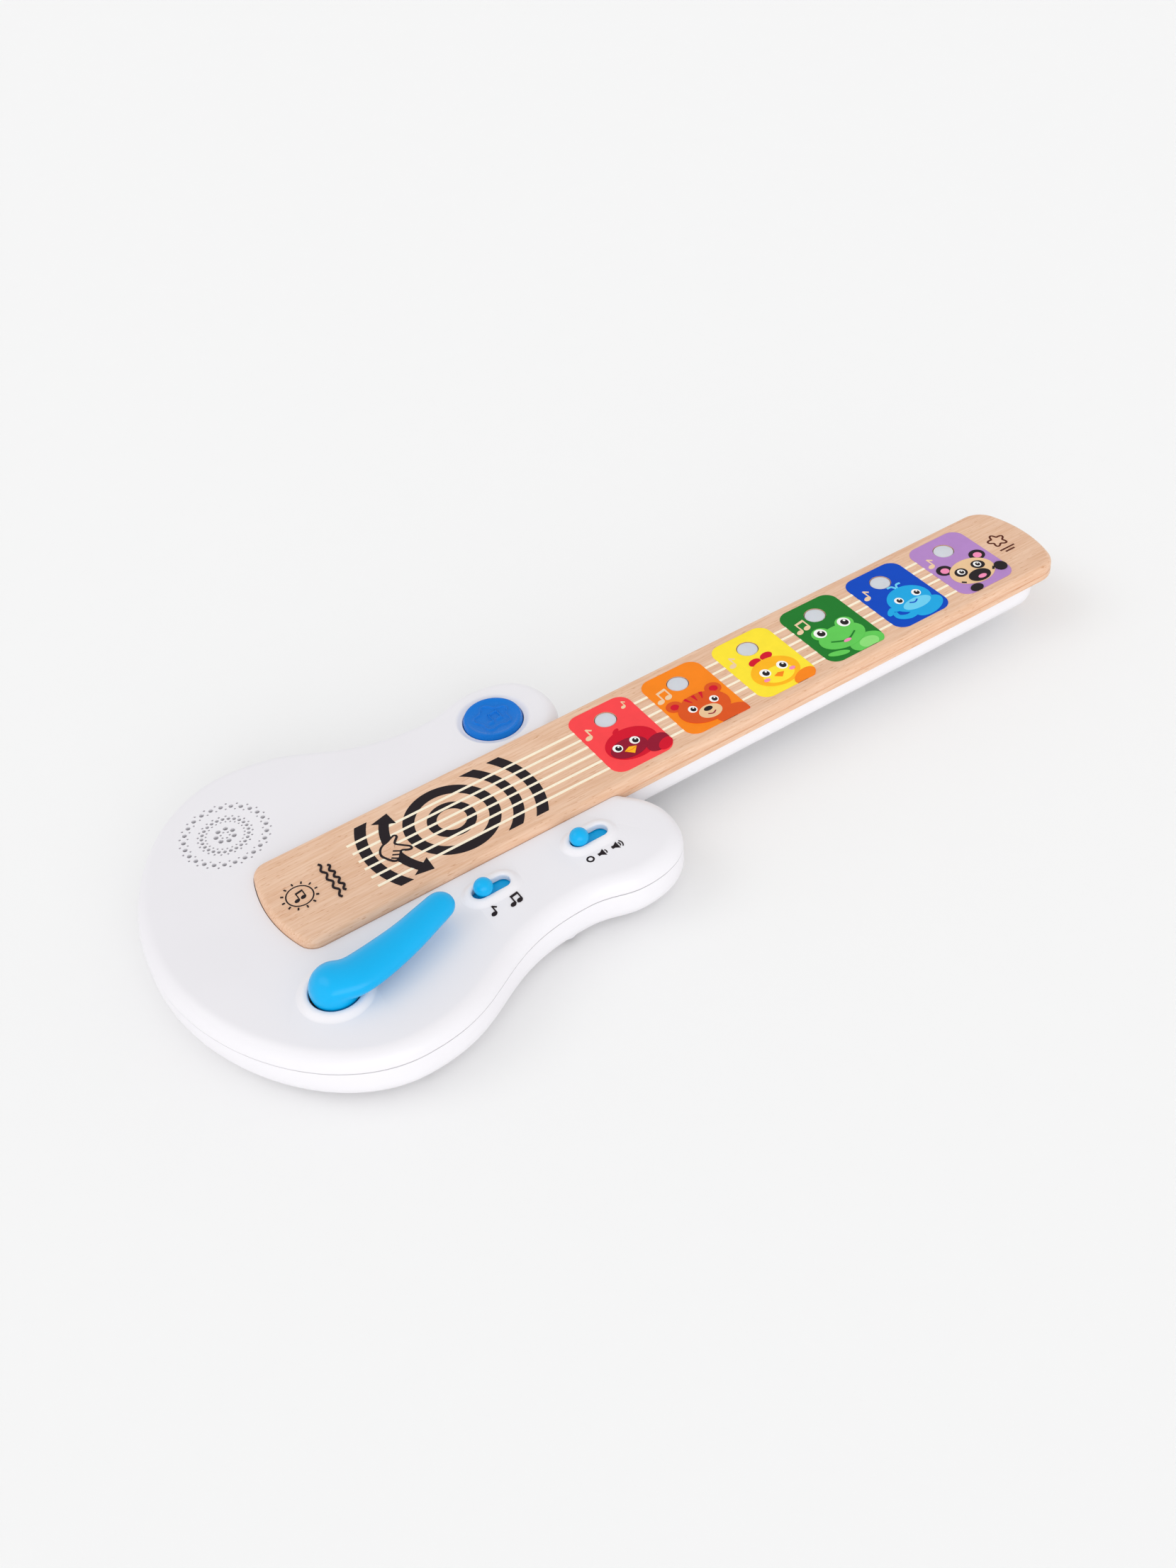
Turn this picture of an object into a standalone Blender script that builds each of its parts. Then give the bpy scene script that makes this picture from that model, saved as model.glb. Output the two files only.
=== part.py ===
"""Toy electric guitar: a two-part moulded body, a wooden fingerboard with six lit touch pads,
a speaker, a push button, two slide switches, a sprung whammy bar and a three-cell battery bay.

Metres, +Z up. +X runs along the neck to the head, +Y is the speaker side. The origin is on the
surface that the guitar lies on, under the middle of its length.
"""
import math

import bmesh
import bpy
from mathutils import Matrix, Vector
from mathutils.geometry import interpolate_bezier

MM = 0.001

# Fits
GAP = 0.3 * MM                    # between pieces that touch or seat on each other
RUNNING_GAP = 0.4 * MM            # between a moving piece and its guide

# Fingerboard
BOARD_LENGTH = 397.8 * MM
BOARD_WIDTH = 54.0 * MM
BOARD_THICK = 8.0 * MM
BOARD_PROUD = 3.4 * MM            # above the body's top face
BOARD_EDGE = 2.8 * MM             # rounding of its upper edge
LOW_END_RADIUS = 67.0 * MM        # bow of the end that lies on the body
HEAD_END_RADIUS = 60.0 * MM       # bow of the head end
LOW_CORNER = 7.5 * MM
HEAD_CORNER = 12.0 * MM
BOARD_SETBACK = 49.2 * MM         # from the body's tail to the board's low end

# Body
BODY_LENGTH = 209.5 * MM
BODY_WIDTH = 185.0 * MM           # at the lower bout
WAIST_WIDTH = 134.2 * MM
HORN_SHOULDER = 11.4 * MM         # from the push button out to the horn's side
ROOM_OVER_CELLS = 2.4 * MM        # from the battery bay's roof up to the touch circuit
BOUT_FROM_TAIL = 69.1 * MM
WAIST_FROM_TAIL = 155.2 * MM
HORN_FROM_TAIL = 180.5 * MM
HORN_TIP_OFFSET = 47.0 * MM       # of the horns' foremost points from the centre line
HORN_REACH = 9.5 * MM             # how far the horns reach past the neck's root
TOP_SHELL_DEPTH = 7.2 * MM        # from the top face down to the seam
WALL = 2.5 * MM
TOP_EDGE = 6.8 * MM
BOTTOM_EDGE = 12.7 * MM
TRAY_LEDGE = 4.0 * MM             # shelf that the board rests on
TRAY_THICK = 1.9 * MM

# Neck cover
NECK_WIDTH = 51.2 * MM
NECK_DEPTH = 13.2 * MM
NECK_WALL = 2.2 * MM
NECK_EDGE = 8.5 * MM
NECK_SHORT_OF_HEAD = 9.5 * MM

# Touch pads and lights
PAD_COUNT = 6
PAD_PITCH = 37.95 * MM
LAST_PAD_FROM_HEAD = 40.5 * MM
WINDOW_DIAMETER = 9.4 * MM
WINDOW_DEPTH = 5.0 * MM
WINDOW_OFFSET = 11.5 * MM         # from the board's centre line
LIGHT_SIZE = (3.5 * MM, 2.8 * MM, 1.5 * MM)
CIRCUIT_THICK = 1.2 * MM
TOUCH_CIRCUIT_WIDTH = 42.0 * MM

# Push button
BUTTON_DIAMETER = 27.4 * MM
BUTTON_FROM_FRONT = 29.1 * MM
BUTTON_PROUD = 1.6 * MM
BUTTON_DISH = 1.0 * MM
BUTTON_TRAVEL = 2.0 * MM
BUTTON_FLANGE = 1.2 * MM          # how far its hidden flange stands out
BUTTON_RECESS = 2.6 * MM          # width of the dished ring round it
BUTTON_SIDE_GAP = 3.3 * MM        # from the board's tray to the button

# Slide switches
SLOT_LENGTH = 16.8 * MM
SLOT_WIDTH = 6.8 * MM
SLOT_OFFSET = 41.3 * MM           # from the board's centre line
VOLUME_FROM_FRONT = 35.9 * MM
MODE_FROM_FRONT = 82.1 * MM
COLLAR_WIDTH = 3.2 * MM
COLLAR_HEIGHT = 1.7 * MM
KNOB_DIAMETER = 7.8 * MM
KNOB_HEIGHT = 4.3 * MM            # of the ball's centre above the body
VOLUME_TRAVEL = 8.0 * MM
MODE_TRAVEL = 6.8 * MM
MODE_START = 1.2 * MM             # rest place of the mode knob from its end stop
SKIRT_OVERLAP = 2.0 * MM          # skirt beyond the slot at either end of its travel
SKIRT_WIDTH = 10.4 * MM
SWITCH_SIZE = (19.0 * MM, 6.6 * MM, 4.6 * MM)

# Whammy bar
WHAMMY_FROM_TAIL = 53.1 * MM
WHAMMY_OFFSET = 51.0 * MM
WHAMMY_BALL = 10.2 * MM           # radius
WHAMMY_BALL_HEIGHT = 2.9 * MM     # of its centre above the body
WHAMMY_STEM = 4.0 * MM            # radius
WHAMMY_STEM_BOTTOM = 13.4 * MM    # above the surface that the guitar lies on
WHAMMY_COLLAR = 4.2 * MM
WHAMMY_COLLAR_HEIGHT = 1.8 * MM
# Arm stations from the pivot: along, across, height above the body, half width, half height.
WHAMMY_ARM = (
    (-2.0, -2.2, 7.2, 7.0, 4.4), (3.5, -3.6, 7.6, 8.8, 5.0), (8.3, -3.9, 7.9, 9.2, 5.4),
    (18.2, -2.9, 8.5, 8.7, 5.6), (31.0, -0.3, 9.0, 7.5, 5.4), (41.6, 3.3, 9.2, 6.5, 5.2),
    (50.2, 6.3, 9.3, 5.8, 5.0),
)

# Speaker
SPEAKER_FROM_TAIL = 54.5 * MM
SPEAKER_RADIUS = 21.0 * MM
SPEAKER_SIDE_GAP = 4.2 * MM       # between the tray wall and the speaker
GRILLE_RINGS = ((7, 3.9, 1.0), (25, 9.9, 0.75), (25, 17.4, 0.9))   # holes, ring radius, hole radius
MAGNET_RADIUS = 11.5 * MM
MAGNET_HEIGHT = 7.0 * MM
SPEAKER_DEPTH = 10.5 * MM

# Batteries
CELL_COUNT = 3
CELL_DIAMETER = 14.5 * MM
CELL_LENGTH = 50.5 * MM
CELL_SPACING = 0.6 * MM
CELL_SPRING = 4.2 * MM
CONTACT_THICK = 0.5 * MM
BAY_FROM_TAIL = 101.5 * MM
BAY_WALL = 2.0 * MM
BAY_ROOF_THICK = 1.2 * MM
DOOR_THICK = 1.5 * MM
DOOR_LIP = 2.6 * MM
DOOR_TAB = 9.0 * MM

# Leads
LEAD_RADIUS = 0.8 * MM
RIBBON_WIDTH = 10.0 * MM
RIBBON_THICK = 0.5 * MM

# Feet and screws
FOOT_PROUD = 2.0 * MM
FOOT_RADIUS = 6.0 * MM
FOOT_SEAT = 0.8 * MM
BOSS_RADIUS = 3.6 * MM
BOSS_MEETING = 14.0 * MM          # height at which upper and lower bosses meet
SCREW_RADIUS = 1.4 * MM
SCREW_HEAD = 2.7 * MM
SCREW_HEAD_HEIGHT = 1.6 * MM
HEAD_SEAT = 7.2 * MM              # height of the shoulder under a casing screw's head

# Sizes and places worked out from those above
TRAY_HALF = BOARD_WIDTH / 2 + GAP + WALL
HORN_WIDTH = 2 * (TRAY_HALF + BUTTON_SIDE_GAP + BUTTON_DIAMETER + HORN_SHOULDER)
CELL_PITCH = CELL_DIAMETER + CELL_SPACING
BODY_DEPTH = (DOOR_THICK + CELL_DIAMETER + 3 * GAP + BAY_ROOF_THICK + ROOM_OVER_CELLS
              + CIRCUIT_THICK + GAP + BOARD_THICK - BOARD_PROUD)
TAIL_X = -(BOARD_SETBACK + BOARD_LENGTH) / 2
HEAD_X = -TAIL_X
LOW_X = TAIL_X + BOARD_SETBACK
FRONT_X = TAIL_X + BODY_LENGTH
ROOT_X = FRONT_X - HORN_REACH
BODY_BOTTOM = FOOT_PROUD
BODY_TOP = BODY_BOTTOM + BODY_DEPTH
SEAM_Z = BODY_TOP - TOP_SHELL_DEPTH
BOARD_TOP = BODY_TOP + BOARD_PROUD
BOARD_BOTTOM = BOARD_TOP - BOARD_THICK
FLOOR_Z = BODY_BOTTOM + WALL
CEILING_Z = BODY_TOP - WALL
BUTTON_AT = (FRONT_X - BUTTON_FROM_FRONT, TRAY_HALF + BUTTON_SIDE_GAP + BUTTON_DIAMETER / 2)
VOLUME_AT = (FRONT_X - VOLUME_FROM_FRONT, -SLOT_OFFSET)
MODE_AT = (FRONT_X - MODE_FROM_FRONT, -SLOT_OFFSET)
WHAMMY_AT = (TAIL_X + WHAMMY_FROM_TAIL, -WHAMMY_OFFSET)
SPEAKER_AT = (TAIL_X + SPEAKER_FROM_TAIL, TRAY_HALF + SPEAKER_SIDE_GAP / 2 + SPEAKER_RADIUS + 1.1 * MM)
BAY_X = TAIL_X + BAY_FROM_TAIL
BAY_HALF_X = (CELL_COUNT * CELL_PITCH + 1.2 * MM) / 2
BAY_HALF_Y = (CELL_LENGTH + CELL_SPRING + 2 * CONTACT_THICK + 4 * GAP) / 2
DOOR_TOP = BODY_BOTTOM + DOOR_THICK
CELL_Z = DOOR_TOP + 2 * GAP + CELL_DIAMETER / 2
BAY_ROOF = CELL_Z + CELL_DIAMETER / 2 + GAP
DOOR_SCREW_AT = (BAY_X, BAY_HALF_Y + BAY_WALL + DOOR_TAB / 2)
PAD_X = [HEAD_X - LAST_PAD_FROM_HEAD - PAD_PITCH * n for n in reversed(range(PAD_COUNT))]
NECK_SCREW_X = [(PAD_X[n] + PAD_X[n + 1]) / 2 for n in range(0, PAD_COUNT - 1, 2)]
NECK_END_X = HEAD_X - NECK_SHORT_OF_HEAD
NECK_TOP = BOARD_BOTTOM - GAP
NECK_BOTTOM = NECK_TOP - NECK_DEPTH
TOUCH_TOP = BOARD_BOTTOM - GAP
TOUCH_BOTTOM = TOUCH_TOP - CIRCUIT_THICK
CASING_SCREWS = (
    (TAIL_X + 14.0 * MM, 0.0),
    (TAIL_X + BOUT_FROM_TAIL, BODY_WIDTH / 2 - 12.0 * MM),
    (TAIL_X + BOUT_FROM_TAIL, 12.0 * MM - BODY_WIDTH / 2),
    (TAIL_X + WAIST_FROM_TAIL - 6.0 * MM, WAIST_WIDTH / 2 - 9.5 * MM),
    (TAIL_X + WAIST_FROM_TAIL - 6.0 * MM, 9.5 * MM - WAIST_WIDTH / 2),
)
FEET = (
    (TAIL_X + 34.0 * MM, BODY_WIDTH / 2 - 45.0 * MM), (TAIL_X + 34.0 * MM, 45.0 * MM - BODY_WIDTH / 2),
    (FRONT_X - 31.0 * MM, HORN_WIDTH / 2 - 29.0 * MM), (FRONT_X - 31.0 * MM, 29.0 * MM - HORN_WIDTH / 2),
)


# ---------------------------------------------------------------- tools

def clear_scene():
    for obj in list(bpy.data.objects):
        bpy.data.objects.remove(obj, do_unlink=True)


def collection(name):
    made = bpy.data.collections.new(name)
    bpy.context.scene.collection.children.link(made)
    return made


def plastic(name, colour, roughness=0.35, metallic=0.0):
    material = bpy.data.materials.new(name)
    material.use_nodes = True
    shader = material.node_tree.nodes["Principled BSDF"]
    shader.inputs["Base Color"].default_value = (*colour, 1.0)
    shader.inputs["Roughness"].default_value = roughness
    shader.inputs["Metallic"].default_value = metallic
    return material


def new_object(name, bm, material=None, at=(0, 0, 0)):
    """Puts bm into an object: a part when it has a material, a hidden cutter when it has none."""
    mesh = bpy.data.meshes.new(name)
    bm.to_mesh(mesh)
    bm.free()
    obj = bpy.data.objects.new(name, mesh)
    obj.location = at
    if material:
        mesh.materials.append(material)
        PARTS.objects.link(obj)
    else:
        CUTTERS.objects.link(obj)
        obj.hide_render = True
        obj.display_type = "WIRE"
    return obj


def boolean(obj, cutter, operation):
    modifier = obj.modifiers.new(f"{operation.lower()} {cutter.name}", "BOOLEAN")
    modifier.object = cutter
    modifier.operation = operation
    modifier.solver = "EXACT"


def add_bevel(obj, width, segments, angle=math.radians(55)):
    modifier = obj.modifiers.new("edge rounding", "BEVEL")
    modifier.limit_method = "ANGLE"
    modifier.angle_limit = angle
    modifier.width = width
    modifier.segments = segments


def add_wall(obj, thickness):
    modifier = obj.modifiers.new("wall", "SOLIDIFY")
    modifier.thickness = thickness
    modifier.offset = -1.0
    modifier.use_even_offset = True


def box(bm, low, high):
    centre = (Vector(low) + Vector(high)) / 2
    size = Vector(high) - Vector(low)
    place = Matrix.Translation(centre) @ Matrix.Diagonal((*size, 1.0))
    bmesh.ops.create_cube(bm, size=1.0, matrix=place)


def cylinder(bm, x, y, z0, z1, radius, sides=16):
    place = Matrix.Translation((x, y, (z0 + z1) / 2))
    bmesh.ops.create_cone(bm, cap_ends=True, segments=sides, radius1=radius, radius2=radius,
                          depth=z1 - z0, matrix=place)


def prism(bm, outline, z0, z1):
    """Extrudes the outline, a ring of (x, y) points, from z0 up to z1. Returns its top face."""
    base = bm.faces.new([bm.verts.new((x, y, z0)) for x, y in outline])
    lifted = bmesh.ops.extrude_face_region(bm, geom=[base])["geom"]
    verts = [item for item in lifted if isinstance(item, bmesh.types.BMVert)]
    bmesh.ops.translate(bm, vec=(0, 0, z1 - z0), verts=verts)
    bmesh.ops.recalc_face_normals(bm, faces=bm.faces)
    return next(item for item in lifted if isinstance(item, bmesh.types.BMFace))


def stadium(x, y, length, width, steps=8):
    """A slot's outline: two half circles joined by straight sides, along X."""
    radius = width / 2
    points = []
    for side in (1, -1):
        centre = x + side * (length / 2 - radius)
        for n in range(steps + 1):
            angle = -math.pi / 2 + math.pi * n / steps + (0 if side > 0 else math.pi)
            points.append((centre + radius * math.cos(angle), y + radius * math.sin(angle)))
    return points


def turned(bm, profile, x=0.0, y=0.0, steps=24):
    """Spins a profile of (radius, z) points, outer side from top to bottom, round a vertical axis."""
    mesh = bpy.data.meshes.new("profile")
    closed = profile[0][0] > 0
    edges = [(n, n + 1) for n in range(len(profile) - 1)]
    if closed:
        edges.append((len(profile) - 1, 0))
    mesh.from_pydata([(radius, 0, z) for radius, z in profile], edges, [])
    spun = bpy.data.objects.new("profile", mesh)
    CUTTERS.objects.link(spun)
    modifier = spun.modifiers.new("turn", "SCREW")
    modifier.steps = steps
    modifier.render_steps = steps
    modifier.use_merge_vertices = True
    modifier.merge_threshold = 1e-6
    bpy.context.view_layer.update()
    shape = bpy.data.meshes.new_from_object(spun.evaluated_get(bpy.context.evaluated_depsgraph_get()))
    shape.transform(Matrix.Translation((x, y, 0)))
    bm.from_mesh(shape)
    bpy.data.objects.remove(spun, do_unlink=True)


def join(target, source):
    """Adds the source's mesh to the target and frees it."""
    mesh = bpy.data.meshes.new("joined")
    source.to_mesh(mesh)
    source.free()
    target.from_mesh(mesh)


def ring(bm, inner, outer, z0, z1, x, y, steps=24):
    turned(bm, [(outer, z1), (outer, z0), (inner, z0), (inner, z1)], x, y, steps)


def sphere_profile(radius, z, start, end, steps):
    """Points of a ball's outline, from angle start to angle end above its equator."""
    turn = [start + (end - start) * n / steps for n in range(steps + 1)]
    return [(max(radius * math.cos(a), 0.0), z + radius * math.sin(a)) for a in turn]


def tube(name, points, radius, material, sides=3):
    """A wire or tube along the points, with filled caps welded on. sides is the bevel resolution."""
    curve = bpy.data.curves.new(name, "CURVE")
    curve.dimensions = "3D"
    curve.bevel_depth = radius
    curve.bevel_resolution = sides
    curve.use_fill_caps = True
    spline = curve.splines.new("POLY")
    spline.points.add(len(points) - 1)
    for n, point in enumerate(points):
        spline.points[n].co = (*point, 1.0)
    source = bpy.data.objects.new(name + "_path", curve)
    CUTTERS.objects.link(source)
    bpy.context.view_layer.update()
    shape = bpy.data.meshes.new_from_object(source.evaluated_get(bpy.context.evaluated_depsgraph_get()))
    bpy.data.objects.remove(source, do_unlink=True)
    bm = bmesh.new()
    bm.from_mesh(shape)
    bmesh.ops.remove_doubles(bm, verts=bm.verts, dist=1e-6)
    bmesh.ops.recalc_face_normals(bm, faces=bm.faces)
    return new_object(name, bm, material)


def loft(bm, sections):
    """Skins a row of closed rings, each with the same number of points, and caps both ends."""
    rings = [[bm.verts.new(point) for point in section] for section in sections]
    count = len(rings[0])
    for first, second in zip(rings, rings[1:]):
        for n in range(count):
            m = (n + 1) % count
            bm.faces.new((first[n], first[m], second[m], second[n]))
    bm.faces.new(rings[0][::-1])
    bm.faces.new(rings[-1])
    bmesh.ops.recalc_face_normals(bm, faces=bm.faces)


def smooth(obj, angle=math.radians(35)):
    obj.data.shade_smooth()
    obj.data.set_sharp_from_angle(angle=angle)


# ---------------------------------------------------------------- outlines

def body_outline():
    """The body's plan: five smooth curves from the tail to the neck on one side, and their mirror."""
    bout, waist, horn = BODY_WIDTH / 2, WAIST_WIDTH / 2, HORN_WIDTH / 2
    root = (ROOT_X, NECK_WIDTH / 2 + 0.9 * MM)
    stations = (
        ((TAIL_X, 0), (0, 0.515 * bout), (TAIL_X + BOUT_FROM_TAIL, bout),
         (-0.522 * BOUT_FROM_TAIL, 0), 9),
        ((TAIL_X + BOUT_FROM_TAIL, bout), (40.1 * MM, 0), (TAIL_X + WAIST_FROM_TAIL, waist),
         (-45.0 * MM, 0), 8),
        ((TAIL_X + WAIST_FROM_TAIL, waist), (12.0 * MM, 0), (TAIL_X + HORN_FROM_TAIL, horn),
         (-10.0 * MM, 0), 4),
        ((TAIL_X + HORN_FROM_TAIL, horn), (20.8 * MM, 0), (FRONT_X, HORN_TIP_OFFSET), (0, 14.0 * MM), 6),
        ((FRONT_X, HORN_TIP_OFFSET), (0, -9.0 * MM), root, (5.0 * MM, 5.0 * MM), 5),
    )
    half = []
    for start, out, end, back, steps in stations:
        knots = [Vector((*start, 0)), Vector((start[0] + out[0], start[1] + out[1], 0)),
                 Vector((end[0] + back[0], end[1] + back[1], 0)), Vector((*end, 0))]
        half += [(p.x, p.y) for p in interpolate_bezier(*knots, steps + 1)[:-1]]
    half.append(root)
    return half[::-1] + [(x, -y) for x, y in half[1:]]


def bowed_end(tip_x, bow, corner, half, direction, steps):
    """Half of a bowed end, from its tip out to the side: the bow's arc, then the corner's arc."""
    bow_centre = tip_x - direction * bow
    along = math.sqrt((bow - corner) ** 2 - (half - corner) ** 2)
    corner_x = bow_centre + direction * along
    meet = math.atan2(half - corner, along)
    arc = [meet * n / steps for n in range(steps + 1)]
    turn = [meet + (math.pi / 2 - meet) * n / steps for n in range(1, steps + 1)]
    points = [(bow_centre + direction * bow * math.cos(a), bow * math.sin(a)) for a in arc]
    points += [(corner_x + direction * corner * math.cos(a), half - corner + corner * math.sin(a))
               for a in turn]
    return points


def board_outline(grow=0.0, stop_x=None):
    """The fingerboard's plan, larger all round by grow, or cut square at stop_x."""
    half = BOARD_WIDTH / 2 + grow
    low = bowed_end(LOW_X - grow, LOW_END_RADIUS + grow, LOW_CORNER + grow, half, -1, 5)
    if stop_x is None:
        head = bowed_end(HEAD_X + grow, HEAD_END_RADIUS + grow, HEAD_CORNER + grow, half, 1, 5)[::-1]
    else:
        head = [(stop_x, half)]
    side = low + head
    lower = [(x, -y) for x, y in side if y > 0]
    return side + lower[::-1]


def neck_outline():
    half = NECK_WIDTH / 2
    head = bowed_end(NECK_END_X, HEAD_END_RADIUS, 14.0 * MM, half, 1, 5)[::-1]
    side = [(ROOT_X + GAP, half)] + head
    lower = [(x, -y) for x, y in side if y > 0]
    return side + lower[::-1]


def open_shell(name, outline, face_z, rim_z, material, open_x=None):
    """A pan: the outline's face at face_z with walls to an open rim at rim_z."""
    bm = bmesh.new()
    far = prism(bm, outline, face_z, rim_z)
    loose = [far]
    if open_x is not None:
        loose += [f for f in bm.faces if all(abs(v.co.x - open_x) < 1e-6 for v in f.verts)]
    bmesh.ops.delete(bm, geom=loose, context="FACES_ONLY")
    return new_object(name, bm, material)


# ---------------------------------------------------------------- casing

def build_casing_top():
    shell = open_shell("casing_top", body_outline(), BODY_TOP, SEAM_Z, WHITE)
    add_bevel(shell, TOP_EDGE, 3)
    add_wall(shell, WALL)

    added = bmesh.new()
    tray_bottom = BOARD_BOTTOM - GAP - TRAY_THICK
    prism(added, board_outline(GAP + WALL, stop_x=ROOT_X - TOP_EDGE), tray_bottom, BODY_TOP - 1.0 * MM)
    for x, y in (VOLUME_AT, MODE_AT):
        collar = bmesh.new()
        outline = stadium(x, y, SLOT_LENGTH + 2 * COLLAR_WIDTH, SLOT_WIDTH + 2 * COLLAR_WIDTH)
        top = prism(collar, outline, CEILING_Z + 1.0 * MM, BODY_TOP + COLLAR_HEIGHT)
        bmesh.ops.bevel(collar, geom=list(top.edges), offset=1.6 * MM, segments=2, profile=0.5,
                        affect="EDGES")
        join(added, collar)
    ball = WHAMMY_BALL + RUNNING_GAP
    collar_top, under = BODY_TOP + WHAMMY_COLLAR_HEIGHT, CEILING_Z - 1.8 * MM
    bearing, bearing_end = WHAMMY_STEM + 2.5 * MM, WHAMMY_STEM_BOTTOM + 2 * GAP
    turned(added, [(0, collar_top), (ball + 1.2 * MM, collar_top),
                   (ball + 2.6 * MM, BODY_TOP + 0.75 * WHAMMY_COLLAR_HEIGHT),
                   (ball + WHAMMY_COLLAR, BODY_TOP - 0.4 * MM), (ball + WHAMMY_COLLAR, under),
                   (bearing, under), (bearing, bearing_end), (0, bearing_end)], *WHAMMY_AT)
    guide = BUTTON_DIAMETER / 2 + BUTTON_FLANGE + RUNNING_GAP
    ring(added, guide, guide + 1.3 * MM, CEILING_Z - 6.5 * MM, CEILING_Z + 0.8 * MM, *BUTTON_AT)
    ring(added, SPEAKER_RADIUS + GAP, SPEAKER_RADIUS + GAP + 1.5 * MM, CEILING_Z - 4.5 * MM,
         CEILING_Z + 0.8 * MM, *SPEAKER_AT)
    for x, y in CASING_SCREWS:
        cylinder(added, x, y, BOSS_MEETING + GAP, CEILING_Z + 1.0 * MM, BOSS_RADIUS, 10)
    boolean(shell, new_object("casing_top_added", added), "UNION")

    pocket = bmesh.new()
    prism(pocket, board_outline(GAP), BOARD_BOTTOM - GAP, BOARD_TOP + 10.0 * MM)
    boolean(shell, new_object("casing_top_pocket", pocket), "DIFFERENCE")
    opening = bmesh.new()
    prism(opening, board_outline(-TRAY_LEDGE), SEAM_Z - 5.0 * MM, BOARD_BOTTOM + 1.0 * MM)
    boolean(shell, new_object("casing_top_opening", opening), "DIFFERENCE")

    cuts = bmesh.new()
    for x, y in (VOLUME_AT, MODE_AT):
        prism(cuts, stadium(x, y, SLOT_LENGTH, SLOT_WIDTH), CEILING_Z - 5.0 * MM, BODY_TOP + 10.0 * MM)
    socket_floor, shaft = CEILING_Z - 0.6 * MM, WHAMMY_STEM + RUNNING_GAP
    turned(cuts, [(0, BODY_TOP + 10 * MM), (ball, BODY_TOP + 10 * MM), (ball, socket_floor),
                  (shaft, socket_floor), (shaft, 9.0 * MM), (0, 9.0 * MM)], *WHAMMY_AT)
    hole = BUTTON_DIAMETER / 2 + RUNNING_GAP
    turned(cuts, [(0, BODY_TOP + 3 * MM), (hole + BUTTON_RECESS, BODY_TOP + 3 * MM),
                  (hole + BUTTON_RECESS, BODY_TOP + 0.02 * MM), (hole, BODY_TOP - 0.7 * MM),
                  (hole, CEILING_Z - 3.0 * MM), (0, CEILING_Z - 3.0 * MM)], *BUTTON_AT, steps=28)
    for count, ring_radius, hole_radius in GRILLE_RINGS:
        for n in range(count):
            angle = 2 * math.pi * n / count
            cylinder(cuts, SPEAKER_AT[0] + ring_radius * MM * math.cos(angle),
                     SPEAKER_AT[1] + ring_radius * MM * math.sin(angle),
                     CEILING_Z - 2.0 * MM, BODY_TOP + 2.0 * MM, hole_radius * MM, 5)
    for x, y in CASING_SCREWS:
        cylinder(cuts, x, y, BOSS_MEETING - 2.0 * MM, BOSS_MEETING + 8.0 * MM, SCREW_RADIUS + GAP, 8)
    boolean(shell, new_object("casing_top_cuts", cuts), "DIFFERENCE")
    smooth(shell)


def build_casing_bottom():
    shell = open_shell("casing_bottom", body_outline(), BODY_BOTTOM, SEAM_Z - GAP, WHITE)
    add_bevel(shell, BOTTOM_EDGE, 4)
    add_wall(shell, WALL)

    bay_x, bay_y = BAY_HALF_X + BAY_WALL, BAY_HALF_Y + BAY_WALL
    added = bmesh.new()
    box(added, (BAY_X - bay_x, -bay_y, FLOOR_Z - 1.0 * MM), (BAY_X + bay_x, bay_y, BAY_ROOF + BAY_ROOF_THICK))
    for x, y in CASING_SCREWS:
        cylinder(added, x, y, FLOOR_Z - 1.2 * MM, BOSS_MEETING, BOSS_RADIUS + 1.0 * MM, 10)
    for x, y in main_circuit_posts() + switch_circuit_posts() + button_circuit_posts():
        top = post_top(x, y)
        cylinder(added, x, y, FLOOR_Z - 1.0 * MM, top, 2.0 * MM, 8)
    cylinder(added, DOOR_SCREW_AT[0], DOOR_SCREW_AT[1] + 0.01 * MM, FLOOR_Z - 0.4 * MM, FLOOR_Z + 6.0 * MM,
             BOSS_RADIUS, 10)
    boolean(shell, new_object("casing_bottom_added", added), "UNION")

    rebate = bmesh.new()
    lip_x, lip_y = BAY_HALF_X + DOOR_LIP, BAY_HALF_Y + DOOR_LIP
    box(rebate, (BAY_X - lip_x, -lip_y, -5.0 * MM),
        (BAY_X + lip_x, DOOR_SCREW_AT[1] + DOOR_TAB / 2, DOOR_TOP + GAP))
    boolean(shell, new_object("casing_bottom_rebate", rebate), "DIFFERENCE")

    cuts = bmesh.new()
    box(cuts, (BAY_X - BAY_HALF_X, -BAY_HALF_Y, 0.0), (BAY_X + BAY_HALF_X, BAY_HALF_Y, BAY_ROOF))
    for x, y in CASING_SCREWS:
        turned(cuts, [(0, BOSS_MEETING + 4 * MM), (SCREW_RADIUS + GAP, BOSS_MEETING + 4 * MM),
                      (SCREW_RADIUS + GAP, HEAD_SEAT), (SCREW_HEAD + GAP, HEAD_SEAT),
                      (SCREW_HEAD + GAP, 0), (0, 0)], x, y, 10)
    for x, y in FEET:
        cylinder(cuts, x, y, 0.0, BODY_BOTTOM + FOOT_SEAT, FOOT_RADIUS + GAP, 16)
    cylinder(cuts, *DOOR_SCREW_AT, 0.0, FLOOR_Z + 5.0 * MM, SCREW_RADIUS + GAP, 8)
    boolean(shell, new_object("casing_bottom_cuts", cuts), "DIFFERENCE")
    smooth(shell)


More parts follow.
